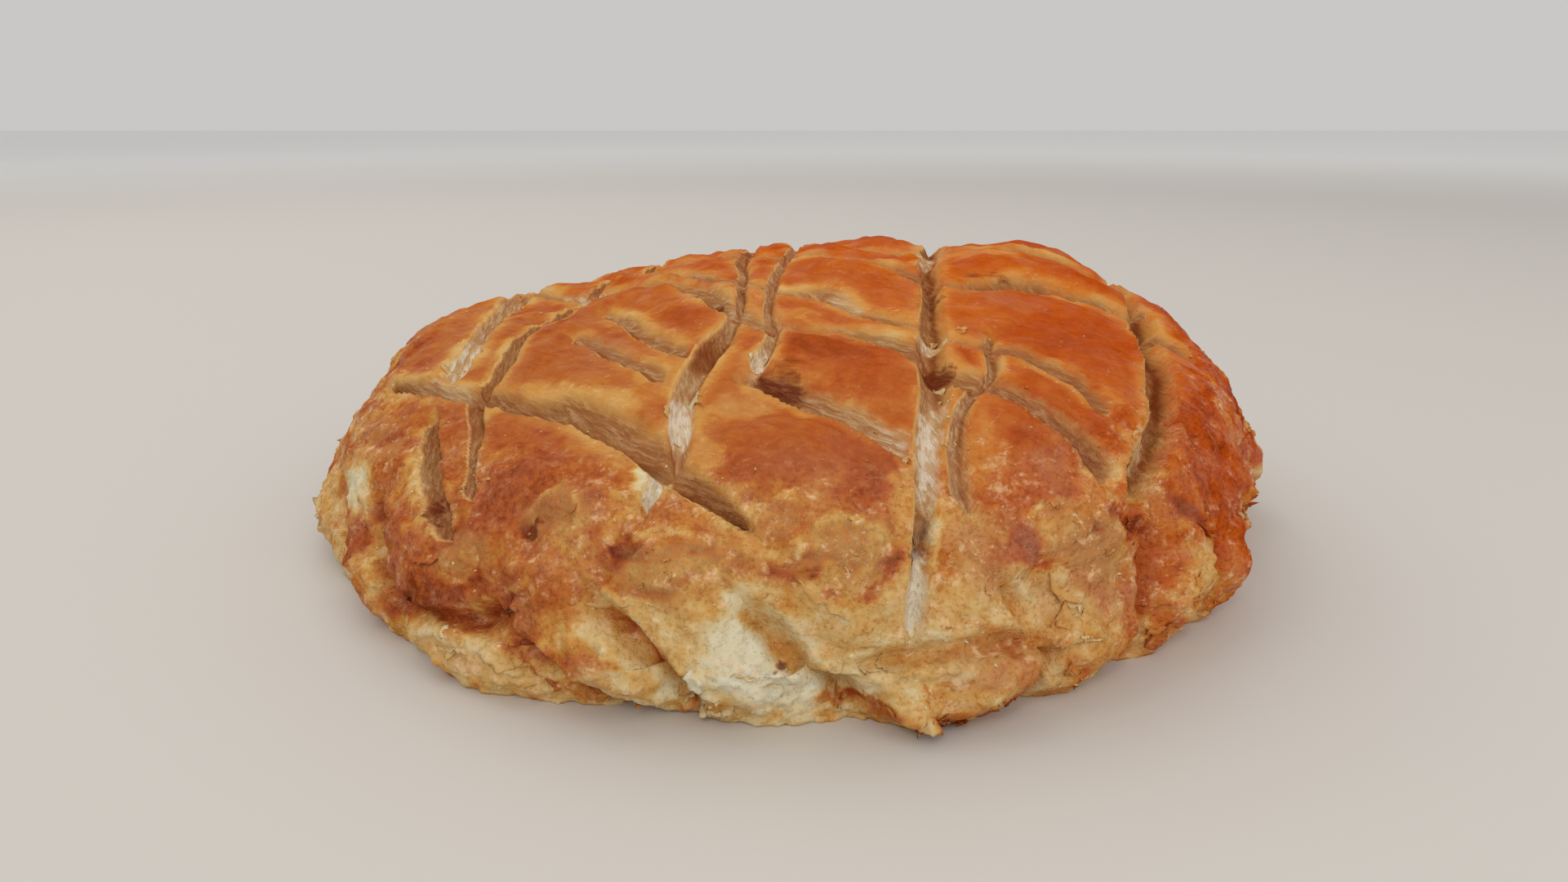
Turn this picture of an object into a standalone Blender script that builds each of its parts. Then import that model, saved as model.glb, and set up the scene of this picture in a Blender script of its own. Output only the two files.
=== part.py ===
"""Galette des rois: a round puff pastry, scored in a lattice and pinched into folds round its rim.

The crust is one solid. A turned dome gives the risen form, and knife cuts, folds, blisters and
torn flakes are then worked into it by their distance from curves drawn on the flat lid.
Units are metres, +Z is up, and the origin is the middle of the resting face.
"""
import math
from dataclasses import dataclass

import bpy
import numpy as np

MM = 0.001
COLLECTION = "galette_des_rois"
NODE = "galette"

# Risen form: radius and height of the dome's profile from the crown down to the resting face
PROFILE = ((0.0, 59.8), (55.6, 54.5), (96.7, 41.9), (112.4, 17.0), (113.8, 9.0), (109.0, 0.0))
PROFILE_STEPS = 400
SPLINE_STEPS = 24
OVALNESS = 0.028
CROWN_LEAN = 3.4 * MM
RISE_TO_RIGHT = 0.85
RISE_TO_BACK = 0.51

# Puffing of the blocks between the cuts, and of the rolls between the folds
PUFF_HEIGHT = 2.6 * MM
PUFF_REACH = 9.0 * MM
PUFF_LIMIT = 24.0 * MM
PUFF_POWER = 1.5
ROLL_HEIGHT = 2.2 * MM
ROLL_REACH = 7.0 * MM

# Section of a cut: the lip along its edges, how round its floor is, how narrow its ends are, and
# over how many millimetres it runs out
LIP_HEIGHT = 0.5 * MM
LIP_WIDTH = 1.4 * MM
SECTION_POWER = 0.9
END_WIDTH = 0.35
CUT_FADE = 7.0

# Section of a fold: how sharply one side steps over the other, and how far that is felt
STEP_WIDTH = 1.2 * MM
STEP_REACH = 9.0 * MM
FOLD_FADE = 0.35

# Soft waves in the dough: wavelength and height in millimetres, largest first
WAVES = ((46.0, 1.5), (21.0, 0.85), (9.0, 0.42), (4.2, 0.16))
WAVE_COUNT = 28
WAVE_SPREAD = (0.7, 1.5)
WAVE_SEED = 7
EDGE_WAVER = (26.0 * MM, 0.45 * MM)

# Pinched rim: even folds by rule where none is placed by hand, in degrees and millimetres of arc.
# Least and most are a fold's half width, depth and step.
FOLD_COUNT = 24
FOLD_GAP = (-166.0, -30.0)
FOLD_TOP_ARC = 120.0
FOLD_TOP_SPREAD = (-6.0, 4.0)
FOLD_FOOT_ARC = 148.0
FOLD_SLANT = math.radians(11.0)
FOLD_JITTER = 0.2
FOLD_LEAN = 0.35
FOLD_LEAST = (2.4, 2.8, 1.4)
FOLD_MOST = (3.2, 3.9, 2.8)
FOLD_SEED = 31
ROLL_ARC = 133.0
ROLL_RADIUS = 13.0
ROLL_HEIGHTS = (0.6, 3.2)

# Foot: how far up it is drawn level, and what is pressed flat
SETTLE_REACH = 12.0 * MM
FLAT_FOOT = 0.25 * MM

# Density of the worked surface and of the finished solid
TURN_STEPS = 400
RING_STEPS = 170
TRIANGLES = 11200
MERGE_DISTANCE = 0.01 * MM
LEVEL_TOLERANCE = 0.0001 * MM
SHARP_ANGLE = math.radians(50.0)

CRUST_COLOUR = (0.56, 0.22, 0.055, 1.0)
CRUST_ROUGHNESS = 0.38


@dataclass(frozen=True)
class Seam:
    """A cut or a fold on the lid, in millimetres on the flat dough, seen from above.

    path: points on the flat lid. half_width and depth: its section, the half width as one number
    or one for each point of the path. lean: shift of its deepest line towards its left side, -1 to
    1. step: how far its right side stands over its left side, which only a fold has.
    """

    path: tuple
    half_width: float
    depth: float
    lean: float = 0.0
    step: float = 0.0


@dataclass(frozen=True)
class Swell:
    """A rounded bump, or a hollow where height is negative, in millimetres on the flat lid."""

    x: float
    y: float
    radius: float
    height: float


CUTS = (
    Seam(((-64, -101), (-68.5, -93), (-71.5, -84.5), (-73.3, -77.5), (-73.6, -71),
         (-74.3, -64), (-75.2, -57)), (1.4, 2.6, 3.2, 3.0, 2.7, 2.0, 1.6), 2.9),
    Seam(((-72.5, -54), (-73.2, -42), (-75.8, -25), (-77.8, -2), (-76.5, 19), (-72, 40),
         (-64, 66)), (2.6, 3.2, 3.7, 3.8, 4.4, 4.4, 4.4), 2.8),
    Seam(((-59.3, -96), (-61, -89.5), (-62.2, -84.5), (-63.2, -75.5), (-64.6, -63.2),
         (-63.4, -55), (-63.2, -46), (-63, -36), (-62, -24), (-59.5, -8), (-54, 22), (-44, 56),
         (-38, 84)), (0.8, 1.1, 1.2, 1.3, 1.6, 1.7, 1.8, 1.8, 1.9, 2.0, 2.0, 2.0, 2.0), 2.2),
    Seam(((-27, -107), (-25.8, -99), (-23.5, -90), (-22.4, -82), (-22.3, -76), (-22, -70),
         (-20.2, -63), (-18.6, -56), (-17.2, -50), (-15, -44), (-14, -38), (-13.6, -28),
         (-14, -12), (-14.6, 2), (-15.5, 20), (-14, 44), (-9, 80)), (0.8, 1.8, 2.2, 2.6, 2.9,
         2.9, 3.0, 3.2, 3.0, 2.2, 1.4, 1.4, 1.5, 1.6, 2.0, 2.2, 2.2), 2.5),
    Seam(((-9.4, -69), (-8.8, -63), (-7.6, -54), (-6.8, -44), (-6.8, -30), (-6.4, -10),
         (-4, 20), (0, 48), (6, 84)), (2.2, 2.4, 1.8, 1.4, 1.4, 1.5, 1.8, 2.0, 2.0), 1.9),
    Seam(((21.5, -130), (20.4, -123), (19.7, -117.7), (19.6, -111), (20.2, -101),
         (20.8, -93.6), (21.8, -84), (22.8, -74), (24.2, -60), (26.5, -46), (28.5, -32),
         (30, -14), (33, 10), (38, 48), (42, 92)), (1.4, 2.1, 2.1, 1.8, 2.2, 2.3, 2.8, 3.0,
         3.2, 3.0, 2.6, 2.6, 3.0, 3.0, 3.0), 2.9),
    Seam(((32.2, -107), (28.8, -103.6), (26.8, -99.5), (26.3, -93.5), (26.4, -87), (27.4, -80),
         (30, -74.5), (34, -69), (36.5, -60), (38.5, -50), (39.5, -42)), (0.8, 1.7, 2.2, 2.2,
         1.9, 1.6, 1.4, 1.3, 1.4, 1.3, 1.0), 1.7),
    Seam(((60, -97), (64, -88), (67.5, -79), (70.5, -69), (72.5, -60), (75, -50), (78, -39),
         (81, -26), (83.5, -12), (85, 8), (86, 40)), 3.8, 3.8),
    Seam(((-97, -34), (-92.4, -38.6), (-83.3, -46.9), (-75, -53.8), (-66.6, -59.3),
         (-56.4, -62.8), (-48.6, -68.3), (-40.6, -73.3), (-31.8, -79.8), (-25, -87.6),
         (-20, -95.2), (-15.3, -101.2), (-10.3, -106), (-5.5, -110.4)), (2.0, 2.4, 2.4, 2.4,
         2.7, 3.3, 3.9, 4.6, 5.5, 4.7, 3.9, 2.6, 1.5, 0.8), 3.2, -0.5),
    Seam(((-54, -33), (-45, -41), (-37, -51), (-30, -60), (-25, -68)), 2.2, 1.3, -0.4),
    Seam(((-51, -11), (-44, -23), (-36, -36), (-28, -48.5), (-21, -60)), 2.6, 1.9, -0.4),
    Seam(((-17, -66.5), (-8, -68), (2, -75), (9, -82), (15, -88.5), (20, -94)), 3.0, 2.6,
         -0.5),
    Seam(((-92, 36), (-64, 16), (-46, 8), (-36, 0), (-25, -14), (-17, -31), (-10, -43),
         (-3, -47), (6, -49.5), (13, -55.5), (19, -62.5), (25, -68.5), (34, -73.5), (43, -81),
         (52, -90), (57, -97)), 3.2, 2.6, -0.5),
    Seam(((-80, 64), (-52, 36), (-34, 12), (-18, -10), (-6, -24), (6, -30), (13, -39),
         (20, -46), (29, -54), (38, -59), (46, -64.5), (53, -71), (59, -80)), 2.8, 2.3, -0.5),
    Seam(((-42, 60), (-8, 26), (16, 0), (26, -15), (33, -19.5), (42, -17), (54, -16.5),
         (66, -19), (76, -22.5), (86, -28), (94, -40)), 3.6, 3.0, -0.5),
    Seam(((-26, 70), (8, 42), (34, 20), (52, 10), (72, 2), (90, -14)), 3.4, 2.4, -0.4),
    Seam(((-4, 100), (30, 70), (62, 42), (96, 12)), 3.4, 2.7, -0.4),
    Seam(((14, 106), (44, 80), (74, 54), (98, 30)), 3.0, 2.4, -0.4),
)

FOLDS = (
    Seam(((-104, -50), (-112, -64), (-112, -84)), 2.8, 2.6, -0.3, -1.6),
    Seam(((-84, -72), (-91, -84), (-88, -103), (-85, -116)), 3.0, 2.8, -0.3, -1.6),
    Seam(((-91, -92), (-82, -106), (-70, -112), (-59, -114)), 2.6, 2.6, 0.4, -2.6),
    Seam(((-60, -113), (-53, -121), (-46, -130), (-40, -137), (-33, -146)), 3.0, 2.8, 0.4, -3.2),
    Seam(((-40, -110), (-35.5, -118), (-30, -124), (-25.5, -131), (-22, -141)), 2.8, 3.2, 0.4,
         -2.8),
    Seam(((-14, -116), (-7, -124), (1, -131), (12, -142)), 2.8, 3.2, -0.3, 1.2),
    Seam(((4, -131), (17, -130), (30, -127), (46, -123)), 2.6, 2.4, 0.3, -0.8),
    Seam(((34, -114), (40, -119), (46, -124)), 2.0, 1.6, -0.4, 2.2),
    Seam(((46, -121), (50, -127), (50, -142)), 3.0, 3.6, -0.4, 2.0),
    Seam(((66, -92), (72, -106), (77, -117), (78, -130)), 3.2, 3.8, -0.4, 1.6),
    Seam(((84, -84), (92, -92), (100, -100), (104, -108)), 2.8, 3.4, -0.3, 1.4),
    Seam(((98, -62), (106, -72), (112, -78), (122, -84)), 2.8, 3.4, -0.3, 1.4),
)
SWELLS = (
    Swell(60, 0, 30, 2.4),
    Swell(73, 63, 22, 2.5),
    Swell(93, 25, 22, 1.5),
    Swell(94, -18, 22, -2.4),
    Swell(66, 14, 16, 3.6),
    Swell(82, 0, 9, -2.6),
    Swell(44, 12, 14, 2.2),
    Swell(-100, -42, 16, 2.2),
    Swell(-77, 57, 22, -1.8),
    Swell(-94, 18, 22, 1.5),
    Swell(-84, 27, 12, 2.4),
    Swell(-60, 4, 12, -1.6),
    Swell(-132, 0, 18, 1.5),
    Swell(-78, -107, 16, 2.0),
    Swell(4, -139, 20, -4.2),
    Swell(36, -130, 17, 3.6),
    Swell(23, -141, 4, 4.5),
    Swell(78, -107, 16, -1.0),
    Swell(-47, -101, 5, -1.8),
    Swell(-29, -108, 4, -1.0),
    Swell(-44, -96, 10, 1.0),
    Swell(-22, -112, 8, 0.9),
    Swell(7, -112, 8, 1.0),
    Swell(44, -104, 9, 1.1),
    Swell(-4, -75, 9, -1.6),
    Swell(42, -16, 9, -1.2),
)


def spline(points, count):
    """Return count points, evenly spaced, on the Catmull-Rom curve through the given points."""
    knots = np.asarray(points, dtype=float)
    knots = np.vstack((2.0 * knots[0] - knots[1], knots, 2.0 * knots[-1] - knots[-2]))
    spans = len(knots) - 3
    t = np.linspace(0.0, spans, SPLINE_STEPS * spans + 1)
    span = np.minimum(t.astype(int), spans - 1)
    u = (t - span)[:, None]
    p0, p1, p2, p3 = (knots[span + k] for k in range(4))
    curve = 0.5 * (2.0 * p1 + (p2 - p0) * u + (2.0 * p0 - 5.0 * p1 + 4.0 * p2 - p3) * u ** 2
                   + (3.0 * p1 - p0 - 3.0 * p2 + p3) * u ** 3)
    length = np.concatenate(((0.0,), np.cumsum(np.linalg.norm(np.diff(curve, axis=0), axis=1))))
    at = np.linspace(0.0, length[-1], count)
    return np.column_stack([np.interp(at, length, column) for column in curve.T])


def dome_profile():
    """Return arc, radius and height along the dome's profile, crown to resting face."""
    mirrored = ((-PROFILE[1][0], PROFILE[1][1]),) + PROFILE
    curve = spline(mirrored, 2 * PROFILE_STEPS)
    curve = curve[curve[:, 0] >= 0.0] * MM
    curve[0, 0] = 0.0
    curve = curve[curve[:, 1] >= 0.0]
    arc = np.concatenate(((0.0,), np.cumsum(np.linalg.norm(np.diff(curve, axis=0), axis=1))))
    return arc, curve[:, 0], curve[:, 1]


ARC, RADIUS, HEIGHT = dome_profile()


def dome_points(azimuth, arc):
    """Return the points of the smooth dome at an azimuth and an arc from the crown, in metres."""
    height = np.interp(arc, ARC, HEIGHT)
    radius = np.interp(arc, ARC, RADIUS) * (1.0 - OVALNESS * np.cos(2.0 * azimuth))
    x = radius * np.cos(azimuth) + CROWN_LEAN * height / HEIGHT[0]
    y = radius * np.sin(azimuth)
    z = height * (1.0 + RISE_TO_RIGHT * x + RISE_TO_BACK * y)
    return np.stack((x, y, z), axis=-1)


def dome_normals(azimuth, arc):
    """Return the outward normals of the turned dome, level where the foot turns under."""
    slope_r = np.interp(arc, ARC, np.gradient(RADIUS, ARC))
    slope_z = np.interp(arc, ARC, np.gradient(HEIGHT, ARC))
    upward = np.maximum(slope_r, 0.0)
    size = np.hypot(upward, slope_z)
    outward = -slope_z / size
    return np.stack((outward * np.cos(azimuth), outward * np.sin(azimuth), upward / size), axis=-1)


def lid_to_polar(points):
    """Return azimuth and arc in metres of points given in millimetres on the flat lid."""
    points = np.asarray(points, dtype=float)
    return np.arctan2(points[..., 1], points[..., 0]), np.hypot(points[..., 0], points[..., 1]) * MM


def waves(points, wavelength, seed):
    """Return a smooth random field about zero, a sum of plane waves of about one wavelength."""
    draw = np.random.default_rng(seed)
    direction = draw.normal(size=(WAVE_COUNT, 3))
    direction /= np.linalg.norm(direction, axis=1)[:, None]
    number = 2.0 * math.pi / (wavelength * draw.uniform(*WAVE_SPREAD, WAVE_COUNT))
    phase = draw.uniform(0.0, 2.0 * math.pi, WAVE_COUNT)
    field = np.zeros(len(points))
    for k in range(WAVE_COUNT):
        field += np.cos(points @ direction[k] * number[k] + phase[k])
    return field * math.sqrt(2.0 / WAVE_COUNT)


def seam_distance(points, normals, path):
    """Return each point's signed distance to a path on the dome and its place along it, 0 to 1.

    The sign is positive on the path's right-hand side, seen from outside.
    """
    azimuth, arc = lid_to_polar(spline(path, 3 * len(path) + 12))
    line = dome_points(azimuth, arc)
    start, run = line[:-1], np.diff(line, axis=0)
    near = np.full(len(points), PUFF_LIMIT)
    side = np.ones(len(points))
    along = np.zeros(len(points))
    low, high = line.min(axis=0) - PUFF_LIMIT, line.max(axis=0) + PUFF_LIMIT
    inside = np.flatnonzero(np.all((points > low) & (points < high), axis=1))
    for k in range(len(start)):
        offset = points[inside] - start[k]
        t = np.clip(offset @ run[k] / (run[k] @ run[k]), 0.0, 1.0)
        apart = offset - t[:, None] * run[k]
        distance = np.linalg.norm(apart, axis=1)
        closer = distance < near[inside]
        chosen = inside[closer]
        near[chosen] = distance[closer]
        across = np.cross(run[k], normals[chosen])
        side[chosen] = np.where(np.einsum("ij,ij->i", apart[closer], across) < 0.0, -1.0, 1.0)
        along[chosen] = (k + t[closer]) / len(start)
    return near * side, along


def seam_widths(along, seam):
    """Return a seam's half width in metres at places along its path."""
    values = np.atleast_1d(seam.half_width) * MM
    if len(values) == 1:
        return np.full(len(along), values[0])
    steps = np.linalg.norm(np.diff(np.array(seam.path), axis=0), axis=1)
    places = np.concatenate(((0.0,), np.cumsum(steps))) / steps.sum()
    return np.interp(along, places, values)


def smooth_step(value, low, high):
    """Return 0 below low, 1 above high, and a smooth rise between."""
    t = np.clip((value - low) / (high - low), 0.0, 1.0)
    return t * t * (3.0 - 2.0 * t)


def seam_section(distance, along, taper, seam):
    """Return a seam's depth and the lip at its edges, at signed distances in metres."""
    width = seam_widths(along, seam) * (END_WIDTH + (1.0 - END_WIDTH) * taper)
    u = np.clip(distance / width, -1.0, 1.0)
    shifted = u + seam.lean * (1.0 - u * u)
    floor = np.clip(1.0 - shifted ** 2, 0.0, 1.0) ** SECTION_POWER
    lip = np.exp(-((np.abs(distance) - width) / LIP_WIDTH) ** 2)
    return seam.depth * MM * taper * floor, LIP_HEIGHT * taper * lip


def seam_taper(along, seam):
    """Return how full a seam is along its path: a cut fades at both ends, a fold at its top."""
    if seam.step:
        return smooth_step(along, 0.0, FOLD_FADE)
    fade = CUT_FADE / np.linalg.norm(np.diff(np.array(seam.path), axis=0), axis=1).sum()
    return smooth_step(along, 0.0, fade) * smooth_step(1.0 - along, 0.0, fade)


def rule_folds():
    """Return the folds round the rest of the rim, each slanted and uneven, and their rolls."""
    draw = np.random.default_rng(FOLD_SEED)
    pitch = math.radians(360.0 / FOLD_COUNT)
    first, last = (math.radians(angle) for angle in (FOLD_GAP[1], FOLD_GAP[0] + 360.0))
    folds, rolls = [], []
    for k in range(int((last - first) / pitch)):
        foot = first + (k + 0.5 + draw.uniform(-FOLD_JITTER, FOLD_JITTER)) * pitch
        arcs = np.linspace(FOLD_TOP_ARC + draw.uniform(*FOLD_TOP_SPREAD), FOLD_FOOT_ARC, 4)
        angles = foot - FOLD_SLANT * (FOLD_FOOT_ARC - arcs) / (FOLD_FOOT_ARC - arcs[0])
        width, depth, step = draw.uniform(FOLD_LEAST, FOLD_MOST)
        path = tuple(zip(arcs * np.cos(angles), arcs * np.sin(angles)))
        folds.append(Seam(path, width, depth, FOLD_LEAN, -step))
        between = foot + 0.5 * (pitch - FOLD_SLANT)
        x, y = ROLL_ARC * math.cos(between), ROLL_ARC * math.sin(between)
        rolls.append(Swell(x, y, ROLL_RADIUS, draw.uniform(*ROLL_HEIGHTS)))
    return tuple(folds), tuple(rolls)


RULE_FOLDS, RULE_ROLLS = rule_folds()


def soft_waves(points):
    """Return the uneven rise of the dough, waves of several lengths added together."""
    height = np.zeros(len(points))
    for number, (length, rise) in enumerate(WAVES):
        height += 0.5 * rise * MM * waves(points, length * MM, WAVE_SEED + 1 + number)
    return height


def seam_relief(points, normals):
    """Return the relief of every cut and fold, with the puff of the dough between them."""
    waver = EDGE_WAVER[1] * waves(points, EDGE_WAVER[0], WAVE_SEED)
    height = np.zeros(len(points))
    groove = height.copy()
    lip = height.copy()
    nearest = np.full(len(points), PUFF_LIMIT)
    nearest_fold = nearest.copy()
    for seam in CUTS + FOLDS + RULE_FOLDS:
        distance, along = seam_distance(points, normals, seam.path)
        taper = seam_taper(along, seam)
        depth, edge = seam_section(distance + waver, along, taper, seam)
        groove = np.maximum(groove, depth)
        lip = np.maximum(lip, edge)
        apart = np.abs(distance)
        nearest = np.minimum(nearest, apart + (1.0 - taper) * PUFF_REACH)
        if seam.step:
            nearest_fold = np.minimum(nearest_fold, apart + (1.0 - taper) * ROLL_REACH)
            rise = np.tanh((distance + waver) / STEP_WIDTH) * np.exp(-apart / STEP_REACH)
            height += 0.5 * seam.step * MM * taper * rise
    height -= PUFF_HEIGHT * np.exp(-(nearest / PUFF_REACH) ** PUFF_POWER)
    height -= ROLL_HEIGHT * np.exp(-(nearest_fold / ROLL_REACH) ** PUFF_POWER)
    return height + lip - groove


def swell_relief(points):
    """Return the bumps and hollows, each a rounded bell about its centre on the dome."""
    height = np.zeros(len(points))
    for swell in SWELLS + RULE_ROLLS:
        centre = dome_points(*lid_to_polar((swell.x, swell.y)))
        apart = np.linalg.norm(points - centre, axis=1)
        height += swell.height * MM * np.exp(-(apart / (swell.radius * MM)) ** 2)
    return height


def relief(azimuth, arc):
    """Return how far the worked crust stands off the smooth dome, along its normal, in metres."""
    points = dome_points(azimuth, arc)
    normals = dome_normals(azimuth, arc)
    return soft_waves(points) + seam_relief(points, normals) + swell_relief(points)


def worked_points(azimuth, arc):
    """Return the crust's surface points, flattened where it rests."""
    height = relief(azimuth, arc)
    offset = dome_normals(azimuth, arc) * height[:, None]
    offset[:, 2] *= smooth_step(ARC[-1] - arc, 0.0, SETTLE_REACH)
    points = dome_points(azimuth, arc) + offset
    points[:, 2] = np.maximum(points[:, 2], 0.0)
    return points


def new_collection():
    """Remove every object and return an empty collection for the part."""
    for thing in list(bpy.data.objects):
        bpy.data.objects.remove(thing, do_unlink=True)
    collection = bpy.data.collections.new(COLLECTION)
    bpy.context.scene.collection.children.link(collection)
    return collection


def turned_blank(collection):
    """Return the smooth dome, a profile turned about Z and closed by its resting face."""
    at = np.linspace(0.0, ARC[-1], RING_STEPS)
    radius, height = np.interp(at, ARC, RADIUS), np.interp(at, ARC, HEIGHT)
    outline = [(r, 0.0, z) for r, z in zip(radius, height)] + [(0.0, 0.0, 0.0)]
    mesh = bpy.data.meshes.new(NODE)
    mesh.from_pydata(outline, [(k, k + 1) for k in range(len(outline) - 1)], [])
    blank = bpy.data.objects.new(NODE, mesh)
    collection.objects.link(blank)
    turn = blank.modifiers.new("Turn", "SCREW")
    turn.axis = "Z"
    turn.steps = TURN_STEPS
    turn.render_steps = TURN_STEPS
    turn.use_merge_vertices = True
    turn.merge_threshold = MERGE_DISTANCE
    return blank


def evaluated_mesh(thing):
    """Return a new mesh of an object with its modifiers applied."""
    bpy.context.view_layer.update()
    graph = bpy.context.evaluated_depsgraph_get()
    return bpy.data.meshes.new_from_object(thing.evaluated_get(graph))


def work_surface(mesh):
    """Move the blank's vertices to the worked surface; its resting face keeps its middle."""
    co = np.empty(3 * len(mesh.vertices))
    mesh.vertices.foreach_get("co", co)
    co = co.reshape(-1, 3)
    azimuth = np.arctan2(co[:, 1], co[:, 0])
    arc = np.interp(-co[:, 2], -HEIGHT, ARC)
    points = worked_points(azimuth, arc)
    middle = (co[:, 2] < LEVEL_TOLERANCE) & (np.hypot(co[:, 0], co[:, 1]) < 0.5 * RADIUS[-1])
    points[middle] = 0.0
    mesh.vertices.foreach_set("co", points.ravel())
    mesh.update()


def thin_out(thing):
    """Reduce the worked mesh to the finished solid's triangles, keeping its sharp changes."""
    thing.data.calc_loop_triangles()
    reduce = thing.modifiers.new("Thin out", "DECIMATE")
    reduce.ratio = TRIANGLES / len(thing.data.loop_triangles)
    reduce.use_collapse_triangulate = True


def settle_on_origin(mesh):
    """Flatten the foot and centre the solid's box over the origin."""
    co = np.empty(3 * len(mesh.vertices))
    mesh.vertices.foreach_get("co", co)
    co = co.reshape(-1, 3)
    co[co[:, 2] < FLAT_FOOT, 2] = 0.0
    co[:, :2] -= 0.5 * (co.min(axis=0) + co.max(axis=0))[:2]
    mesh.vertices.foreach_set("co", co.ravel())
    mesh.update()


def crust_material():
    """Return the egg-washed crust's material."""
    material = bpy.data.materials.new("baked_crust")
    material.use_nodes = True
    shader = material.node_tree.nodes["Principled BSDF"]
    shader.inputs["Base Color"].default_value = CRUST_COLOUR
    shader.inputs["Roughness"].default_value = CRUST_ROUGHNESS
    shader.inputs["Metallic"].default_value = 0.0
    return material


def make_galette():
    """Make the galette as one closed solid in its own collection."""
    collection = new_collection()
    blank = turned_blank(collection)
    worked = evaluated_mesh(blank)
    work_surface(worked)
    blank.modifiers.clear()
    blank.data = worked
    thin_out(blank)
    finished = evaluated_mesh(blank)
    settle_on_origin(finished)
    blank.modifiers.clear()
    blank.data = finished
    finished.name = NODE
    finished.materials.append(crust_material())
    finished.shade_smooth()
    finished.set_sharp_from_angle(angle=SHARP_ANGLE)
    return blank


make_galette()
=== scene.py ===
"""Looks of a galette des rois: egg-washed puff pastry, scored in a lattice, with a pinched flaky rim.

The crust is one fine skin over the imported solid. The same dome, cuts, folds and swells give its
form, and blisters, torn layers and fibres are added to it. Lengths in the tables are millimetres
on the flat lid, the dough laid out level and seen from above, with the photograph's viewer at -y.
"""
import logging
import math
from dataclasses import dataclass
from enum import Enum

import bpy
import numpy as np
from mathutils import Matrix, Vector


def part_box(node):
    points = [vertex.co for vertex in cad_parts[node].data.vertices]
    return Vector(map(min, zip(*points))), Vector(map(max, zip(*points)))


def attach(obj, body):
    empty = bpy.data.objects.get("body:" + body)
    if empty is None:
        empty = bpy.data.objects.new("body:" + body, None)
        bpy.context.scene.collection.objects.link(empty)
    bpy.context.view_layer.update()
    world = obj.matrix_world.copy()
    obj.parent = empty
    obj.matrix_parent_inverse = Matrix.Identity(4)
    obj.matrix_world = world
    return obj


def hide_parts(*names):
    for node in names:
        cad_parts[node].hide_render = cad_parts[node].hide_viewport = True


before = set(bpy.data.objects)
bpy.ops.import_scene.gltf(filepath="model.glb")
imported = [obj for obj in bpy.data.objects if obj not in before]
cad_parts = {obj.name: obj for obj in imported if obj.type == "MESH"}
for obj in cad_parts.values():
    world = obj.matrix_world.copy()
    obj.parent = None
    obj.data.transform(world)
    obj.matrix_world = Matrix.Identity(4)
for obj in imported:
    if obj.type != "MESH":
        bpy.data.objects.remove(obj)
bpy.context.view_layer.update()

LOG = logging.getLogger("galette")
MM = 0.001
TURN = 2.0 * math.pi
NODE = "galette"
BODY = "root"
CURVE_STEPS = 24
Array = np.ndarray
Colour = tuple[float, float, float, float]


def linear(red: int, green: int, blue: int) -> Colour:
    """Return the linear colour, with alpha 1, of an 8-bit display colour."""
    shown = np.array((red, green, blue)) / 255.0
    value = np.where(shown <= 0.04045, shown / 12.92, ((shown + 0.055) / 1.055) ** 2.4)
    return (*(float(part) for part in value), 1.0)


def smooth_step(value: Array, low: float, high: float) -> Array:
    """Return 0 at low, 1 at high and a smooth rise between; low may be above high."""
    t = np.clip((value - low) / (high - low), 0.0, 1.0)
    return t * t * (3.0 - 2.0 * t)


def catmull_rom(points: tuple, count: int) -> Array:
    """Return count points, evenly spaced, on the Catmull-Rom curve through the given points."""
    knots = np.asarray(points, dtype=float)
    knots = np.vstack((2.0 * knots[0] - knots[1], knots, 2.0 * knots[-1] - knots[-2]))
    spans = len(knots) - 3
    t = np.linspace(0.0, spans, CURVE_STEPS * spans + 1)
    span = np.minimum(t.astype(int), spans - 1)
    u = (t - span)[:, None]
    p0, p1, p2, p3 = (knots[span + k] for k in range(4))
    curve = 0.5 * (2.0 * p1 + (p2 - p0) * u + (2.0 * p0 - 5.0 * p1 + 4.0 * p2 - p3) * u ** 2
                   + (3.0 * p1 - p0 - 3.0 * p2 + p3) * u ** 3)
    length = np.concatenate(((0.0,), np.cumsum(np.linalg.norm(np.diff(curve, axis=0), axis=1))))
    at = np.linspace(0.0, length[-1], count)
    return np.column_stack([np.interp(at, length, column) for column in curve.T])


def rows_of(kind: type, rows: tuple) -> tuple:
    """Return one object of the kind for each row, which gives its fields in order."""
    return tuple(kind(*row) for row in rows)


@dataclass(frozen=True)
class Wave:
    """A smooth random field about zero: a sum of plane waves in random directions.

    length is about how long one wave is, in millimetres. seed draws the directions, lengths and
    phases, spread is how strongly the field varies, and count is how many waves are added.
    """

    length: float
    seed: int
    spread: float = 1.0
    count: int = 28
    uneven: tuple = (0.7, 1.5)

    def at(self, points: Array) -> Array:
        """Return the field's value at each point, given in metres, one row each."""
        draw = np.random.default_rng(self.seed)
        direction = draw.normal(size=(self.count, 3))
        direction /= np.linalg.norm(direction, axis=1)[:, None]
        number = TURN / (self.length * MM * draw.uniform(*self.uneven, self.count))
        phase = draw.uniform(0.0, TURN, self.count)
        field = np.zeros(len(points))
        for way, steps, start in zip(direction, number, phase):
            field += np.cos(points @ way * steps + start)
        return self.spread * math.sqrt(2.0 / self.count) * field


class Family(Enum):
    """Which way a seam runs: it sets the way that the torn fibres in it lie."""

    FRONT_TO_BACK = 0.0
    LEFT_TO_RIGHT = 1.0
    RIM = 0.5


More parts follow.
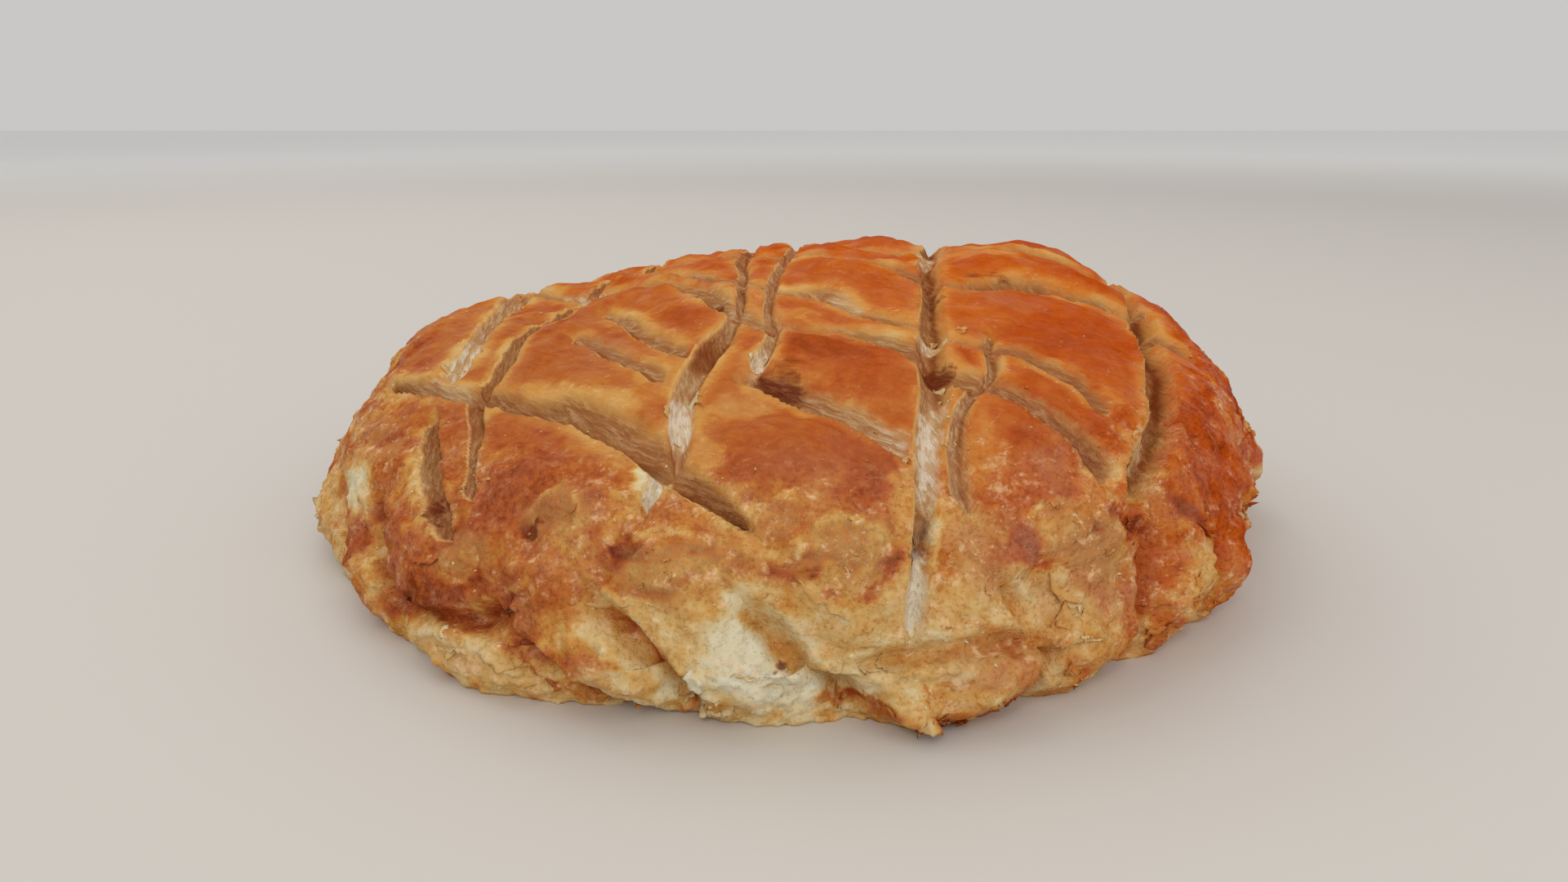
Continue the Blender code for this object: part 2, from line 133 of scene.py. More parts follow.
@dataclass(frozen=True)
class Seam:
    """A cut or a fold, drawn on the flat lid.

    path, half_width, depth, lean and step are its section, as in the solid. half_width is one
    number, or one for each point of the path. tone is how toasted its floor is at the path's start
    and end, 0 pale to 1 dark.
    """

    path: tuple
    half_width: float | tuple[float, ...]
    depth: float
    lean: float = 0.0
    step: float = 0.0
    family: Family = Family.RIM
    tone: tuple[float, float] = (0.5, 0.5)

    def widths(self, along: Array) -> Array:
        """Return the half width in metres at places along the path, 0 to 1."""
        values = np.atleast_1d(self.half_width) * MM
        if len(values) == 1:
            return np.full(len(along), values[0])
        steps = np.linalg.norm(np.diff(np.array(self.path), axis=0), axis=1)
        places = np.concatenate(((0.0,), np.cumsum(steps))) / steps.sum()
        return np.interp(along, places, values)


@dataclass(frozen=True)
class Swell:
    """A rounded bump, or a hollow where height is negative."""

    x: float
    y: float
    radius: float
    height: float


@dataclass(frozen=True)
class Patch:
    """An oval of one finish with a ragged edge: how brown it is, and how much of it is drawn.

    turn is the way its long reach points, in degrees from +x.
    """

    x: float
    y: float
    reach: float
    width: float
    turn: float
    value: float
    weight: float = 0.85


@dataclass(frozen=True)
class Stroke:
    """A thin ridge or crease with its own browning, drawn along a path on the flat lid; a crease's darker
    browning is partly painted shade.

    rise is its height, or its depth where negative. bake is how brown it is, and burn how scorched.
    """

    path: tuple
    width: float
    rise: float
    bake: float
    burn: float = 0.0
    weight: float = 0.8


@dataclass(frozen=True)
class Dome:
    """The risen form: a turned profile, a little oval, leaning and higher at the right and back."""

    profile: tuple = ((0.0, 59.8), (55.6, 54.5), (96.7, 41.9), (112.4, 17.0), (113.8, 9.0), (109.0, 0.0))
    steps: int = 400
    ovalness: float = 0.028
    crown_lean: float = 3.4 * MM
    rise_to_right: float = 0.85
    rise_to_back: float = 0.51

    def __post_init__(self) -> None:
        """Work out arc, radius and height along the profile, from the crown to the foot."""
        mirrored = ((-self.profile[1][0], self.profile[1][1]),) + self.profile
        curve = catmull_rom(mirrored, 2 * self.steps)
        curve = curve[curve[:, 0] >= 0.0] * MM
        curve[0, 0] = 0.0
        curve = curve[curve[:, 1] >= 0.0]
        arc = np.concatenate(((0.0,), np.cumsum(np.linalg.norm(np.diff(curve, axis=0), axis=1))))
        object.__setattr__(self, "arc", arc)
        object.__setattr__(self, "radius", curve[:, 0])
        object.__setattr__(self, "height", curve[:, 1])

    def points(self, azimuth: Array, arc: Array) -> Array:
        """Return the smooth dome's points: the profile at an arc, turned to an azimuth."""
        height = np.interp(arc, self.arc, self.height)
        radius = np.interp(arc, self.arc, self.radius) * (1.0 - self.ovalness * np.cos(2.0 * azimuth))
        x = radius * np.cos(azimuth) + self.crown_lean * height / self.height[0]
        y = radius * np.sin(azimuth)
        z = height * (1.0 + self.rise_to_right * x + self.rise_to_back * y)
        return np.stack((x, y, z), axis=-1)

    def normals(self, azimuth: Array, arc: Array) -> Array:
        """Return the outward normals of the turned profile, level where the foot turns under."""
        slope_r = np.interp(arc, self.arc, np.gradient(self.radius, self.arc))
        slope_z = np.interp(arc, self.arc, np.gradient(self.height, self.arc))
        upward = np.maximum(slope_r, 0.0)
        size = np.hypot(upward, slope_z)
        outward = -slope_z / size
        return np.stack((outward * np.cos(azimuth), outward * np.sin(azimuth), upward / size), axis=-1)

    def from_lid(self, points: Array) -> tuple[Array, Array]:
        """Return azimuth and arc of points given in millimetres on the flat lid."""
        points = np.asarray(points, dtype=float)
        return np.arctan2(points[..., 1], points[..., 0]), np.hypot(points[..., 0], points[..., 1]) * MM


AWAY, ASIDE = Family.FRONT_TO_BACK, Family.LEFT_TO_RIGHT

CUTS = (
    Seam(((-64, -101), (-68.5, -93), (-71.5, -84.5), (-73.3, -77.5), (-73.6, -71), (-74.3, -64),
          (-75.2, -57)), (1.4, 2.6, 3.2, 3, 2.7, 2, 1.6), 2.9, family=AWAY, tone=(0.55, 0.6)),
    Seam(((-72.5, -54), (-73.2, -42), (-75.8, -25), (-77.8, -2), (-76.5, 19), (-72, 40), (-64, 66)),
         (2.6, 3.2, 3.7, 3.8, 4.4, 4.4, 4.4), 2.8, family=AWAY, tone=(0.3, 0.45)),
    Seam(((-59.3, -96), (-61, -89.5), (-62.2, -84.5), (-63.2, -75.5), (-64.6, -63.2), (-63.4, -55),
          (-63.2, -46), (-63, -36), (-62, -24), (-59.5, -8), (-54, 22), (-44, 56), (-38, 84)),
         (1.5, 1.5, 1.5, 1.5, 1.6, 1.7, 1.8, 1.8, 1.9, 2, 2, 2, 2),
         2, family=AWAY, tone=(0.55, 0.65)),
    Seam(((-27, -107), (-25.8, -99), (-23.5, -90), (-22.4, -82), (-22.3, -76), (-22, -70), (-20.2, -63),
          (-18.6, -56), (-17.2, -50), (-15, -44), (-14, -38), (-13.6, -28), (-14, -12), (-14.6, 2),
          (-15.5, 20), (-14, 44), (-9, 80)),
         (0.8, 1.8, 2.2, 2.6, 2.9, 2.9, 3, 3.2, 3, 2.2, 1.4, 1.4, 1.5, 1.6, 2, 2.2, 2.2),
         2.5, family=AWAY, tone=(0.3, 0.6)),
    Seam(((-9.4, -69), (-8.8, -63), (-7.6, -54), (-6.8, -44), (-6.8, -30), (-6.4, -10), (-4, 20),
          (0, 48), (6, 84)),
         (2.2, 2.4, 1.8, 1.4, 1.4, 1.5, 1.8, 2, 2), 1.9, family=AWAY, tone=(0.35, 0.5)),
    Seam(((21.5, -130), (20.4, -123), (19.7, -117.7), (19.6, -111), (20.2, -101), (20.8, -93.6),
          (21.8, -84), (22.8, -74), (24.2, -60), (26.5, -46), (28.5, -32), (30, -14), (33, 10),
          (38, 48), (42, 92)),
         (1.4, 2.1, 2.1, 1.8, 2.2, 2.3, 2.8, 3, 3.2, 3, 2.6, 2.6, 3, 3, 3),
         2.9, family=AWAY, tone=(0.35, 0.7)),
    Seam(((32.2, -107), (28.8, -103.6), (26.8, -99.5), (26.3, -93.5), (26.4, -87), (27.4, -80),
          (30, -74.5), (34, -69), (36.5, -60), (38.5, -50), (39.5, -42)),
         (0.8, 1.7, 2.2, 2.2, 1.9, 1.6, 1.4, 1.3, 1.4, 1.3, 1), 1.7, family=AWAY, tone=(0.34, 0.45)),
    Seam(((60, -97), (64, -88), (67.5, -79), (70.5, -69), (72.5, -60), (75, -50), (78, -39), (81, -26),
          (83.5, -12), (85, 8), (86, 40)), 3.8, 3.8, family=AWAY, tone=(0.45, 0.7)),
    Seam(((-97, -34), (-92.4, -38.6), (-83.3, -46.9), (-75, -53.8), (-66.6, -59.3), (-56.4, -62.8),
          (-48.6, -68.3), (-40.6, -73.3), (-31.8, -79.8), (-25, -87.6), (-20, -95.2), (-15.3, -101.2),
          (-10.3, -106), (-5.5, -110.4)),
         (2, 2.4, 2.4, 2.4, 2.7, 3.3, 3.9, 4.6, 5.5, 4.7, 3.9, 2.6, 1.5, 0.8),
         3.2, -0.5, family=ASIDE, tone=(0.5, 0.6)),
    Seam(((-54, -33), (-45, -41), (-37, -51), (-30, -60), (-25, -68)),
         2.2, 1.3, -0.4, family=ASIDE, tone=(0.45, 0.5)),
    Seam(((-51, -11), (-44, -23), (-36, -36), (-28, -48.5), (-21, -60)),
         2.6, 1.9, -0.4, family=ASIDE, tone=(0.45, 0.5)),
    Seam(((-17, -66.5), (-8, -68), (2, -75), (9, -82), (15, -88.5), (20, -94)),
         3, 2.6, -0.5, family=ASIDE, tone=(0.55, 0.3)),
    Seam(((-92, 36), (-64, 16), (-46, 8), (-36, 0), (-25, -14), (-17, -31), (-10, -43), (-3, -47),
          (6, -49.5), (13, -55.5), (19, -62.5), (25, -68.5), (34, -73.5), (43, -81), (52, -90),
          (57, -97)), 3.2, 2.6, -0.5, family=ASIDE, tone=(0.4, 0.55)),
    Seam(((-80, 64), (-52, 36), (-34, 12), (-18, -10), (-6, -24), (6, -30), (13, -39), (20, -46),
          (29, -54), (38, -59), (46, -64.5), (53, -71), (59, -80)),
         2.8, 2.3, -0.5, family=ASIDE, tone=(0.4, 0.55)),
    Seam(((-42, 60), (-8, 26), (16, 0), (26, -15), (33, -19.5), (42, -17), (54, -16.5), (66, -19),
          (76, -22.5), (86, -28), (94, -40)), 3.6, 3, -0.5, family=ASIDE, tone=(0.45, 0.6)),
    Seam(((-26, 70), (8, 42), (34, 20), (52, 10), (72, 2), (90, -14)),
         3.4, 2.4, -0.4, family=ASIDE, tone=(0.4, 0.5)),
    Seam(((-4, 100), (30, 70), (62, 42), (96, 12)), 3.4, 2.7, -0.4, family=ASIDE, tone=(0.45, 0.5)),
    Seam(((14, 106), (44, 80), (74, 54), (98, 30)), 3, 2.4, -0.4, family=ASIDE, tone=(0.45, 0.5)),
)

FOLDS = (
    Seam(((-104, -50), (-112, -64), (-112, -84)), 2.8, 2.6, -0.3, -1.6),
    Seam(((-84, -72), (-91, -84), (-88, -103), (-85, -116)), 3, 2.8, -0.3, -1.6),
    Seam(((-91, -92), (-82, -106), (-70, -112), (-59, -114)), 2.6, 2.6, 0.4, -2.6),
    Seam(((-60, -113), (-53, -121), (-46, -130), (-40, -137), (-33, -146)), 3, 2.8, 0.4, -3.2),
    Seam(((-40, -110), (-35.5, -118), (-30, -124), (-25.5, -131), (-22, -141)), 2.8, 3.2, 0.4, -2.8),
    Seam(((-14, -116), (-7, -124), (1, -131), (12, -142)), 2.8, 3.2, -0.3, 1.2),
    Seam(((4, -131), (17, -130), (30, -127), (46, -123)), 2.6, 2.4, 0.3, -0.8),
    Seam(((34, -114), (40, -119), (46, -124)), 2, 1.6, -0.4, 2.2),
    Seam(((46, -121), (50, -127), (50, -142)), 3, 3.6, -0.4, 2),
    Seam(((66, -92), (72, -106), (77, -117), (78, -130)), 3.2, 3.8, -0.4, 1.6),
    Seam(((84, -84), (92, -92), (100, -100), (104, -108)), 2.8, 3.4, -0.3, 1.4),
    Seam(((98, -62), (106, -72), (112, -78), (122, -84)), 2.8, 3.4, -0.3, 1.4),
)

SWELLS = rows_of(Swell, (
    (60, 0, 30, 2.4), (73, 63, 22, 2.5), (93, 25, 22, 1.5), (94, -18, 22, -2.4), (66, 14, 16, 3.6),
    (82, 0, 9, -2.6), (44, 12, 14, 2.2), (-100, -42, 16, 2.2), (-77, 57, 22, -1.8), (-94, 18, 22, 1.5),
    (-84, 27, 12, 2.4), (-60, 4, 12, -1.6), (-132, 0, 18, 1.5), (-78, -107, 16, 2),
    (4, -139, 20, -4.2), (36, -130, 17, 3.6), (23, -141, 4, 4.5), (78, -107, 16, -1),
    (-47, -101, 5, -1.8), (-29, -108, 4, -1), (-44, -96, 10, 1), (-22, -112, 8, 0.9),
    (7, -112, 8, 1), (44, -104, 9, 1.1), (-4, -75, 9, -1.6), (42, -16, 9, -1.2),
    (25.3, -68.4, 3.2, -1.4),
))

# Where the cuts' floors are torn into pale strands
TORN_PATCHES = rows_of(Patch, (
    (-76, -30, 24, 4.5, 82, 0.22, 0.62), (-72, -54, 6, 4, -30, 0.2, 0.7),
    (-22, -75, 8, 3.6, 85, 0.05, 0.9), (-25.5, -97, 4, 2.2, 80, 0.05, 0.9),
    (20, -121, 11, 3.4, 90, -0.2, 1), (20.4, -106, 4, 2.6, 86, 0.66, 0.7),
    (21.6, -88, 12, 3.2, 84, 0, 0.9), (-20.2, -52.5, 8, 3.6, 66, 0.78, 0.8),
    (25.4, -66, 5, 3, 80, 0.85, 0.8), (76, -56, 12, 3, 70, 0.85, 0.5),
    (-14.6, -34, 6, 3, 80, 0.24, 0.5), (8, -32, 10, 3.4, -25, 0.2, 0.6),
    (-92, -38, 7, 4, -40, 0.8, 0.7), (-75.6, -84, 6, 2, 80, 0.2, 0.7),
    (23, -101, 6, 3, 88, 0.1, 0.8), (20, -119, 7, 3, 88, -0.1, 0.8),
    (27.5, -60.5, 3.5, 3, 60, 0.8, 0.8), (25, -54, 5, 4, 60, 0.14, 0.8),
    (-8.8, -62, 4.5, 2.6, 70, 0.1, 0.8), (15, -88, 6, 2.6, -45, 0.3, 0.6),
    (-39, -76, 10, 2.5, -40, 0.34, 0.5), (35, 19, 12, 5, 60, 0.2, 0.7),
    (-15, 10, 14, 2.5, 80, 0.3, 0.5), (62, -84, 6, 3, 70, 0.25, 0.7), (-80, -48, 5, 3, -40, 0.3, 0.5),
    (60, 44, 20, 5, -42, 0.3, 0.5), (2, 60, 16, 4, 80, 0.3, 0.6), (-60, 14, 14, 4, -20, 0.25, 0.6),
))

# How brown the glazed surface is: 0 cream, 0.3 pale gold, 0.45 gold, 0.6 amber, 0.75 orange-brown, 1 dark
BAKE_PATCHES = rows_of(Patch, (
    # left shoulder and flank
    (-98, -68, 11, 5, -38, 0.06), (-108, -56, 9, 6, -50, 0.32), (-118, -48, 8, 5, -60, 0.34),
    (-96, -52, 8, 4, -30, 0.42), (-102, -80, 8, 6, -60, 0.76), (-100, -90, 7, 4, -50, 0.5),
    (-90, -56, 8, 6, -30, 0.62), (-83, -68, 4, 3, -20, 0.34, 0.5), (-84, -74, 13, 6, 80, 0.66),
    (-85, -91, 9, 8, -40, 0.74), (-72, -98, 9, 4, -20, 0.68),
    # roll at the lower left, and the pale foot under it
    (-79, -103, 10, 4, -32, 0.86), (-69, -106, 11, 3.6, -16, 0.86), (-55, -111, 8, 3, -8, 0.78),
    (-90, -104, 9, 5, -40, 0.62, 0.6), (-92, -110, 8, 4, -40, 0.24), (-75, -118, 12, 5, -36, 0.2),
    (-61, -126, 10, 6, -42, 0.24), (-60, -102, 8, 3.4, -10, 0.56), (-47, -107, 9, 4, -10, 0.62),
    (-52, -118, 8, 4, -45, 0.72), (-50, -126, 7, 4, -50, 0.66), (-45, -113, 9, 4, -20, 0.6),
    # left front block
    (-52, -76, 10, 8, -30, 0.72, 0.6), (-50, -91, 10, 7, 0, 0.74, 0.6), (-31, -90, 13, 4, -70, 0.55),
    (-43, -94, 14, 7, -6, 0.8, 0.5), (-25.5, -96, 5.5, 2.4, -80, 0.06), (-20, -104, 8, 4, -38, 0.55),
    (-48, -100, 8, 5, -20, 0.78, 0.6), (-68, -76, 16, 3.5, 85, 0.7),
    # middle front block
    (-2, -86, 15, 9, -30, 0.71, 0.6), (12, -97, 8, 7, 60, 0.78, 0.6), (-7, -97, 9, 5, -10, 0.77, 0.6),
    (-17, -91, 10, 2.4, -72, 0.47), (-12, -102, 7, 2.6, -45, 0.42), (16.5, -100, 12, 2.4, 86, 0.42),
    (4, -107, 8, 3, 0, 0.6), (14, -87, 6, 3, -45, 0.6),
    # belly in front
    (-28, -109.5, 4, 1.6, -20, 0.92), (-16, -112, 2.6, 1.4, 0, 0.93), (-2, -115, 4, 1.4, -10, 0.7),
    (13, -115.4, 4, 1.6, 10, 0.72), (-24, -119, 15, 3.2, 0, 0.36), (-38, -112, 8, 3, -10, 0.56),
    (5, -120, 9, 3, -15, 0.42), (4, -124.6, 13, 3.6, -10, 0.34), (14, -121, 5, 5, 0, 0.34),
    # pale torn foot in the middle
    (-37, -123, 6, 4, -60, 0.24), (-41, -128, 8, 2, -15, 0.66), (-34, -133, 7, 5, -60, 0.34),
    (-28, -130, 7, 2.4, -62, 0.16), (-20, -126, 8, 3.4, -50, 0.26),
    (-9, -129, 10, 5.6, -35, 0.05, 0.95), (-6, -136, 13, 6, -10, 0, 0.95),
    (2, -142.5, 14, 3, -4, 0.12, 0.9), (5, -135, 5, 3, -20, 0.26), (10, -131, 14, 3.4, -4, 0.24),
    (15, -137, 8, 4, -20, 0.2), (17, -143, 6, 2.5, 20, 0.52), (-33, -143, 9, 4, -20, 0.3),
    # right of the middle cut
    (26.6, -108, 7, 3, -60, 0.42), (-10.4, -28, 20, 2.6, 88, 0.46, 0.7), (27, -117, 6, 6, 0, 0.5),
    (33, -111, 7, 4, -20, 0.58), (40, -109, 3, 3.2, 0, 0.82), (46, -112, 9, 2.4, -5, 0.72),
    (41, -116, 8, 1.8, -30, 0.2), (48, -114, 7, 2.6, -10, 0.4), (57, -109, 8, 4, -20, 0.6),
    (56, -118, 7, 4, -30, 0.22), (42, -121.5, 12, 2, 0, 0.4), (41, -127, 12, 4, 20, 0.6),
    (31, -133, 9, 4, 20, 0.56), (40, -138, 10, 3, 10, 0.56), (48, -124, 6, 2.2, 15, 0.66),
    # lower half of the left block, and the front blocks' far edges
    (-56, -94, 18, 9, -10, 0.78, 0.5), (-66, -84, 13, 5, 82, 0.68, 0.6),
    (-88, -103, 9, 4, -40, 0.76, 0.6), (13, -79, 9, 3.4, -45, 0.76, 0.7),
    (-26, -105, 9, 4, 0, 0.64, 0.5), (3, -107, 9, 4, 0, 0.64, 0.5), (-13, -77, 8, 4, -10, 0.42, 0.7),
    (1, -77, 8, 3, -30, 0.46, 0.6), (-45, -116, 8, 4, -20, 0.66, 0.6),
    (-57, -114, 6, 2.4, -20, 0.62, 0.5),
    # left rim and right flank
    (-110, -80, 12, 6, 70, 0.76, 0.75), (-111, -56, 9, 5, 70, 0.62, 0.6),
    (-72, -110, 10, 3, -30, 0.84, 0.6), (103, -84, 9, 6, -50, 0.75, 0.7),
    (81, -86, 7, 4, -60, 0.84, 0.7), (104, -54, 10, 6, -70, 0.76, 0.6), (95, -90, 5, 4, -50, 0.74, 0.7),
    (-105, -96, 8, 5, -50, 0.7, 0.6),
    # golden veil over the middle of the belly
    (-12, -117, 19, 4, -8, 0.44, 0.7), (24, -121, 15, 6, -6, 0.24, 0.5),
    (42, -119, 15, 6, -8, 0.26, 0.6), (-5, -124, 9, 4, -30, 0.1, 0.8), (22, -129, 13, 5, 8, 0.12, 0.75),
    (-38, -139, 11, 4, -20, 0.12, 0.8), (65, -108, 11, 5, -15, 0.34, 0.6),
    (90, -101, 7, 4, -45, 0.14, 0.65), (-24, -137, 4, 5, -60, 0.14, 0.7),
    # The paler patch at (31, -93) is painted sheen, a reflection on the glaze
    (31, -93, 12, 4, 84, 0.46, 0.6), (37, -103, 5, 4, 0, 0.54, 0.6), (27, -132, 13, 6, 6, 0.34, 0.55),
    (9, -138, 9, 5, -10, 0.12, 0.6), (52, -109, 9, 6, -10, 0.4, 0.5), (-10, -106, 5, 3, -30, 0.42, 0.6),
    (-30, -124, 5, 3, -60, 0.4, 0.5), (-40, -134, 8, 3, -30, 0.26, 0.6),
    (7, -141, 9, 3.4, -10, 0.04, 0.8), (48, -127, 7, 3.4, 15, 0.4, 0.7),
    (-8.5, -120.5, 6, 2.6, -20, 0.24, 0.7), (-29, -124, 5, 3, -60, 0.16, 0.7),
    (-48, -133, 6, 3, -45, 0.26, 0.7), (-20, -121, 5, 3, -20, 0.28, 0.6),
    (5, -122, 6, 2.6, -10, 0.24, 0.6), (34, -124, 6, 2.6, 10, 0.3, 0.7),
    (42, -119, 6, 2.4, -20, 0.2, 0.6), (-8, -126, 5, 2.6, -30, 0, 0.7),
    (-1, -130, 4, 2.4, -40, 0.3, 0.6), (24, -131, 9, 4, 20, 0.16, 0.6), (8, -140, 6, 3, 0, 0, 0.6),
    (-23, -137, 4, 4, 0, 0.06, 0.7), (66, -107, 7, 3.6, -30, 0.3, 0.7), (30, -108, 5, 3, 60, 0.36, 0.6),
    (37, -105, 4.6, 3, 0, 0.4, 0.7), (42, -124.5, 8, 2.6, 0, 0.3, 0.7),
    (-64.5, -104, 5, 2.6, -10, 0.44, 0.7), (-8, -111, 4, 2.4, 0, 0.34, 0.6),
    # browned lower edge of the foot
    (-66, -122, 14, 5, -42, 0.36, 0.6), (-81, -117, 8, 4, -40, 0.42, 0.6),
    (-97, -105, 7, 4, -50, 0.64, 0.6), (-45, -137, 6, 3, -40, 0.44, 0.6),
    (13, -141.5, 10, 2, 10, 0.76, 0.75), (34, -141, 12, 2.4, 6, 0.74, 0.6),
    (-46, -137, 6, 2, -40, 0.7, 0.5), (46, -133, 5, 5, 60, 0.66, 0.5),
    (-8, -121.8, 4, 2, -20, 0.06, 0.7), (3, -129.5, 4, 2, -30, 0.16, 0.6),
    # single browner and paler places on the blocks
    (-45, -65, 7, 3.4, -30, 0.68, 0.7), (3.5, -73, 6, 3, -40, 0.76, 0.7),
    (54, -70, 6, 4, -45, 0.74, 0.7), (31, -84, 5, 4, 80, 0.68, 0.6), (76, -74, 14, 4.4, 80, 0.76, 0.6),
    (71.5, -88, 6, 4, -60, 0.74, 0.7), (89, -90, 8, 3.6, -50, 0.72, 0.7),
    # The paler patches at (43, -27) and (-42, -44) are painted sheen, reflections on the glaze
    (95, -35, 10, 5, 80, 0.8, 0.6), (-99, -30, 9, 4, 80, 0.7, 0.6), (43, -27, 12, 6, -30, 0.54, 0.5),
    (-42, -44, 9, 5, -40, 0.54, 0.5), (-2, -77, 5, 2.6, -40, 0.4, 0.6),
    (51, -89, 5, 2.6, -45, 0.5, 0.6), (-61, -64.5, 5, 2.4, -20, 0.4, 0.5),
    (-43, -78, 5, 2.4, -35, 0.42, 0.5),
    # right front block and the blocks beside it
    (45, -82, 14, 8, -40, 0.76, 0.6), (38, -98, 9, 6, 0, 0.68), (30, -90, 12, 2, 82, 0.54),
    (60, -99, 8, 2.2, 5, 0.88), (61, -87, 5, 5, 80, 0.42), (68, -94, 6, 3, -20, 0.56),
    (75, -91, 4, 2.2, 0, 0.9), (57, -46, 20, 12, 70, 0.74, 0.7), (22, -45, 9, 5, -70, 0.44),
    # right flank and foot
    (84, -72, 18, 9, -60, 0.8, 0.7), (92, -84, 8, 4, -30, 0.72), (103, -79, 12, 6, -50, 0.72, 0.8),
    (116, -58, 12, 8, -60, 0.7, 0.7), (88, -98, 9, 5.5, -45, 0.26), (102, -92, 8, 4, -40, 0.54),
    (85, -112, 7, 4, -30, 0.62), (68, -111, 9, 4, -60, 0.6), (63, -120, 9, 4, -20, 0.46),
    (74, -102, 7, 4, -50, 0.68), (108, -72, 8, 6, -40, 0.72), (80, -122, 8, 4, -40, 0.5),
    (100, -104, 8, 4, -45, 0.4),
    # top
    (-84, -14, 14, 7, 70, 0.68, 0.6), (-46, -50, 14, 8, -40, 0.68, 0.6), (-42, -67, 15, 3, -28, 0.42),
    (-27, -62, 6, 9, 10, 0.5, 0.6), (-4, -38, 4, 7, 80, 0.44), (46, 3, 9, 5, -10, 0.36, 0.6),
    (12, -70, 9, 4, -40, 0.72), (-60, 10, 6, 5, 0, 0.46), (4, -60, 9, 4, -20, 0.8),
))

# Caramelised hollows: dark red-brown
BURN_PATCHES = rows_of(Patch, (
    (-5.5, -69.2, 6, 2.8, -22, 0.74), (-3, -65, 4, 2.4, -10, 0.5), (-21, -27, 6.5, 2.2, -62, 0.8),
    (44, -12, 7, 2.4, -6, 0.6), (29.4, -27, 1.8, 6, 0, 0.6), (-47, -101.5, 3, 1.8, 0, 0.85),
    (25.5, -66, 3.2, 3.6, 0, 0.75), (-8, -48.8, 4, 1, -35, 0.6), (-70.5, -89, 1.6, 4, 15, 0.7),
    (67, -80, 1.6, 9, -20, 0.3), (73, -62, 1.6, 12, -14, 0.35), (10, -56.4, 9, 0.9, -45, 0.45),
    (-29, -109, 3, 1.4, -10, 0.5), (-3, -131.3, 2.6, 0.7, 0, 0.8), (13, -129.4, 1.6, 0.6, 0, 0.6),
    (20, -111.5, 1.8, 2, 0, 0.6), (40, -108.6, 1.8, 2, 0, 0.35), (25.3, -68.4, 3, 2.6, 0, 0.85),
    (60, -99, 6, 1.2, 4, 0.4), (50, -103.5, 3.2, 0.7, 12, 0.55), (47, -105, 2.2, 0.6, -15, 0.5),
    (-112, -84, 3, 4, 0, 0.5), (22, -18, 3, 5, 0, 0.35),
))

# Thin skins blown up and baked dry: tan, rough and matt
BLISTERS = rows_of(Patch, (
    (-42, -100.5, 7.5, 4.6, -8, 0.5), (-21, -113, 10, 4.2, 2, 0.55), (7.5, -112, 7.5, 5.4, -10, 0.6),
    (51, -104.5, 9, 5, -6, 0.5), (-4.5, -107, 3.6, 2.8, 0, 0.35), (-62, -101, 6, 2.6, -10, 0.35),
    (31, -113, 5, 3, 0, 0.3), (-88, -60, 4, 3, 0, 0.25), (-83, -67, 4, 2.6, 0, 0.35),
))

# Painted sheen: cool pinkish reflections of light on the glaze, painted into its colour
PAINTED_SHEEN_PATCHES = rows_of(Patch, (
    (43, -94, 4, 6, 0, 0.6), (70, -92, 7, 3, 0, 0.5), (-12, -76, 6, 4, -40, 0.35),
    (76, -91, 3, 2, 0, 0.8), (39.5, -109, 3, 3.2, 0, 0.8), (42, -115, 8, 1.6, -30, 0.5),
    (-2, -97, 12, 6, 0, 0.25), (36, -20, 5, 4, 0, 0.3), (8, -95, 8, 6, 0, 0.25),
    (56, -108, 6, 4, 0, 0.4), (42, -127, 9, 4, 0, 0.35), (32, -110, 6, 8, 0, 0.6),
    (55, -109, 12, 6, -20, 0.6), (68, -107, 7, 5, -30, 0.6), (36, -127, 12, 5, 10, 0.55),
    (-72, -119, 14, 4, -36, 0.35), (43, -27, 12, 6, -30, 0.5), (-42, -44, 9, 5, -40, 0.5),
    (-38, -130, 6, 3, 0, 0.3),
))

# Bare dry layers, with no glaze on them
BARE_PATCHES = rows_of(Patch, (
    (-7, -135, 15, 8, -10, 0.85), (12, -132, 12, 5, -5, 0.7), (-38, -124, 5, 4, -50, 0.6),
    (-30, -131, 9, 4, -60, 0.5), (56, -118, 8, 4, -25, 0.75), (-76, -118, 14, 6, -36, 0.8),
    (-62, -127, 10, 6, -42, 0.7), (-93, -109, 9, 5, -40, 0.8), (-98, -68, 9, 4, -38, 0.5),
    (88, -98, 8, 5, -45, 0.6), (-26, -97, 5, 2, -80, 0.7), (66, -94, 5, 2.5, 0, 0.5),
))

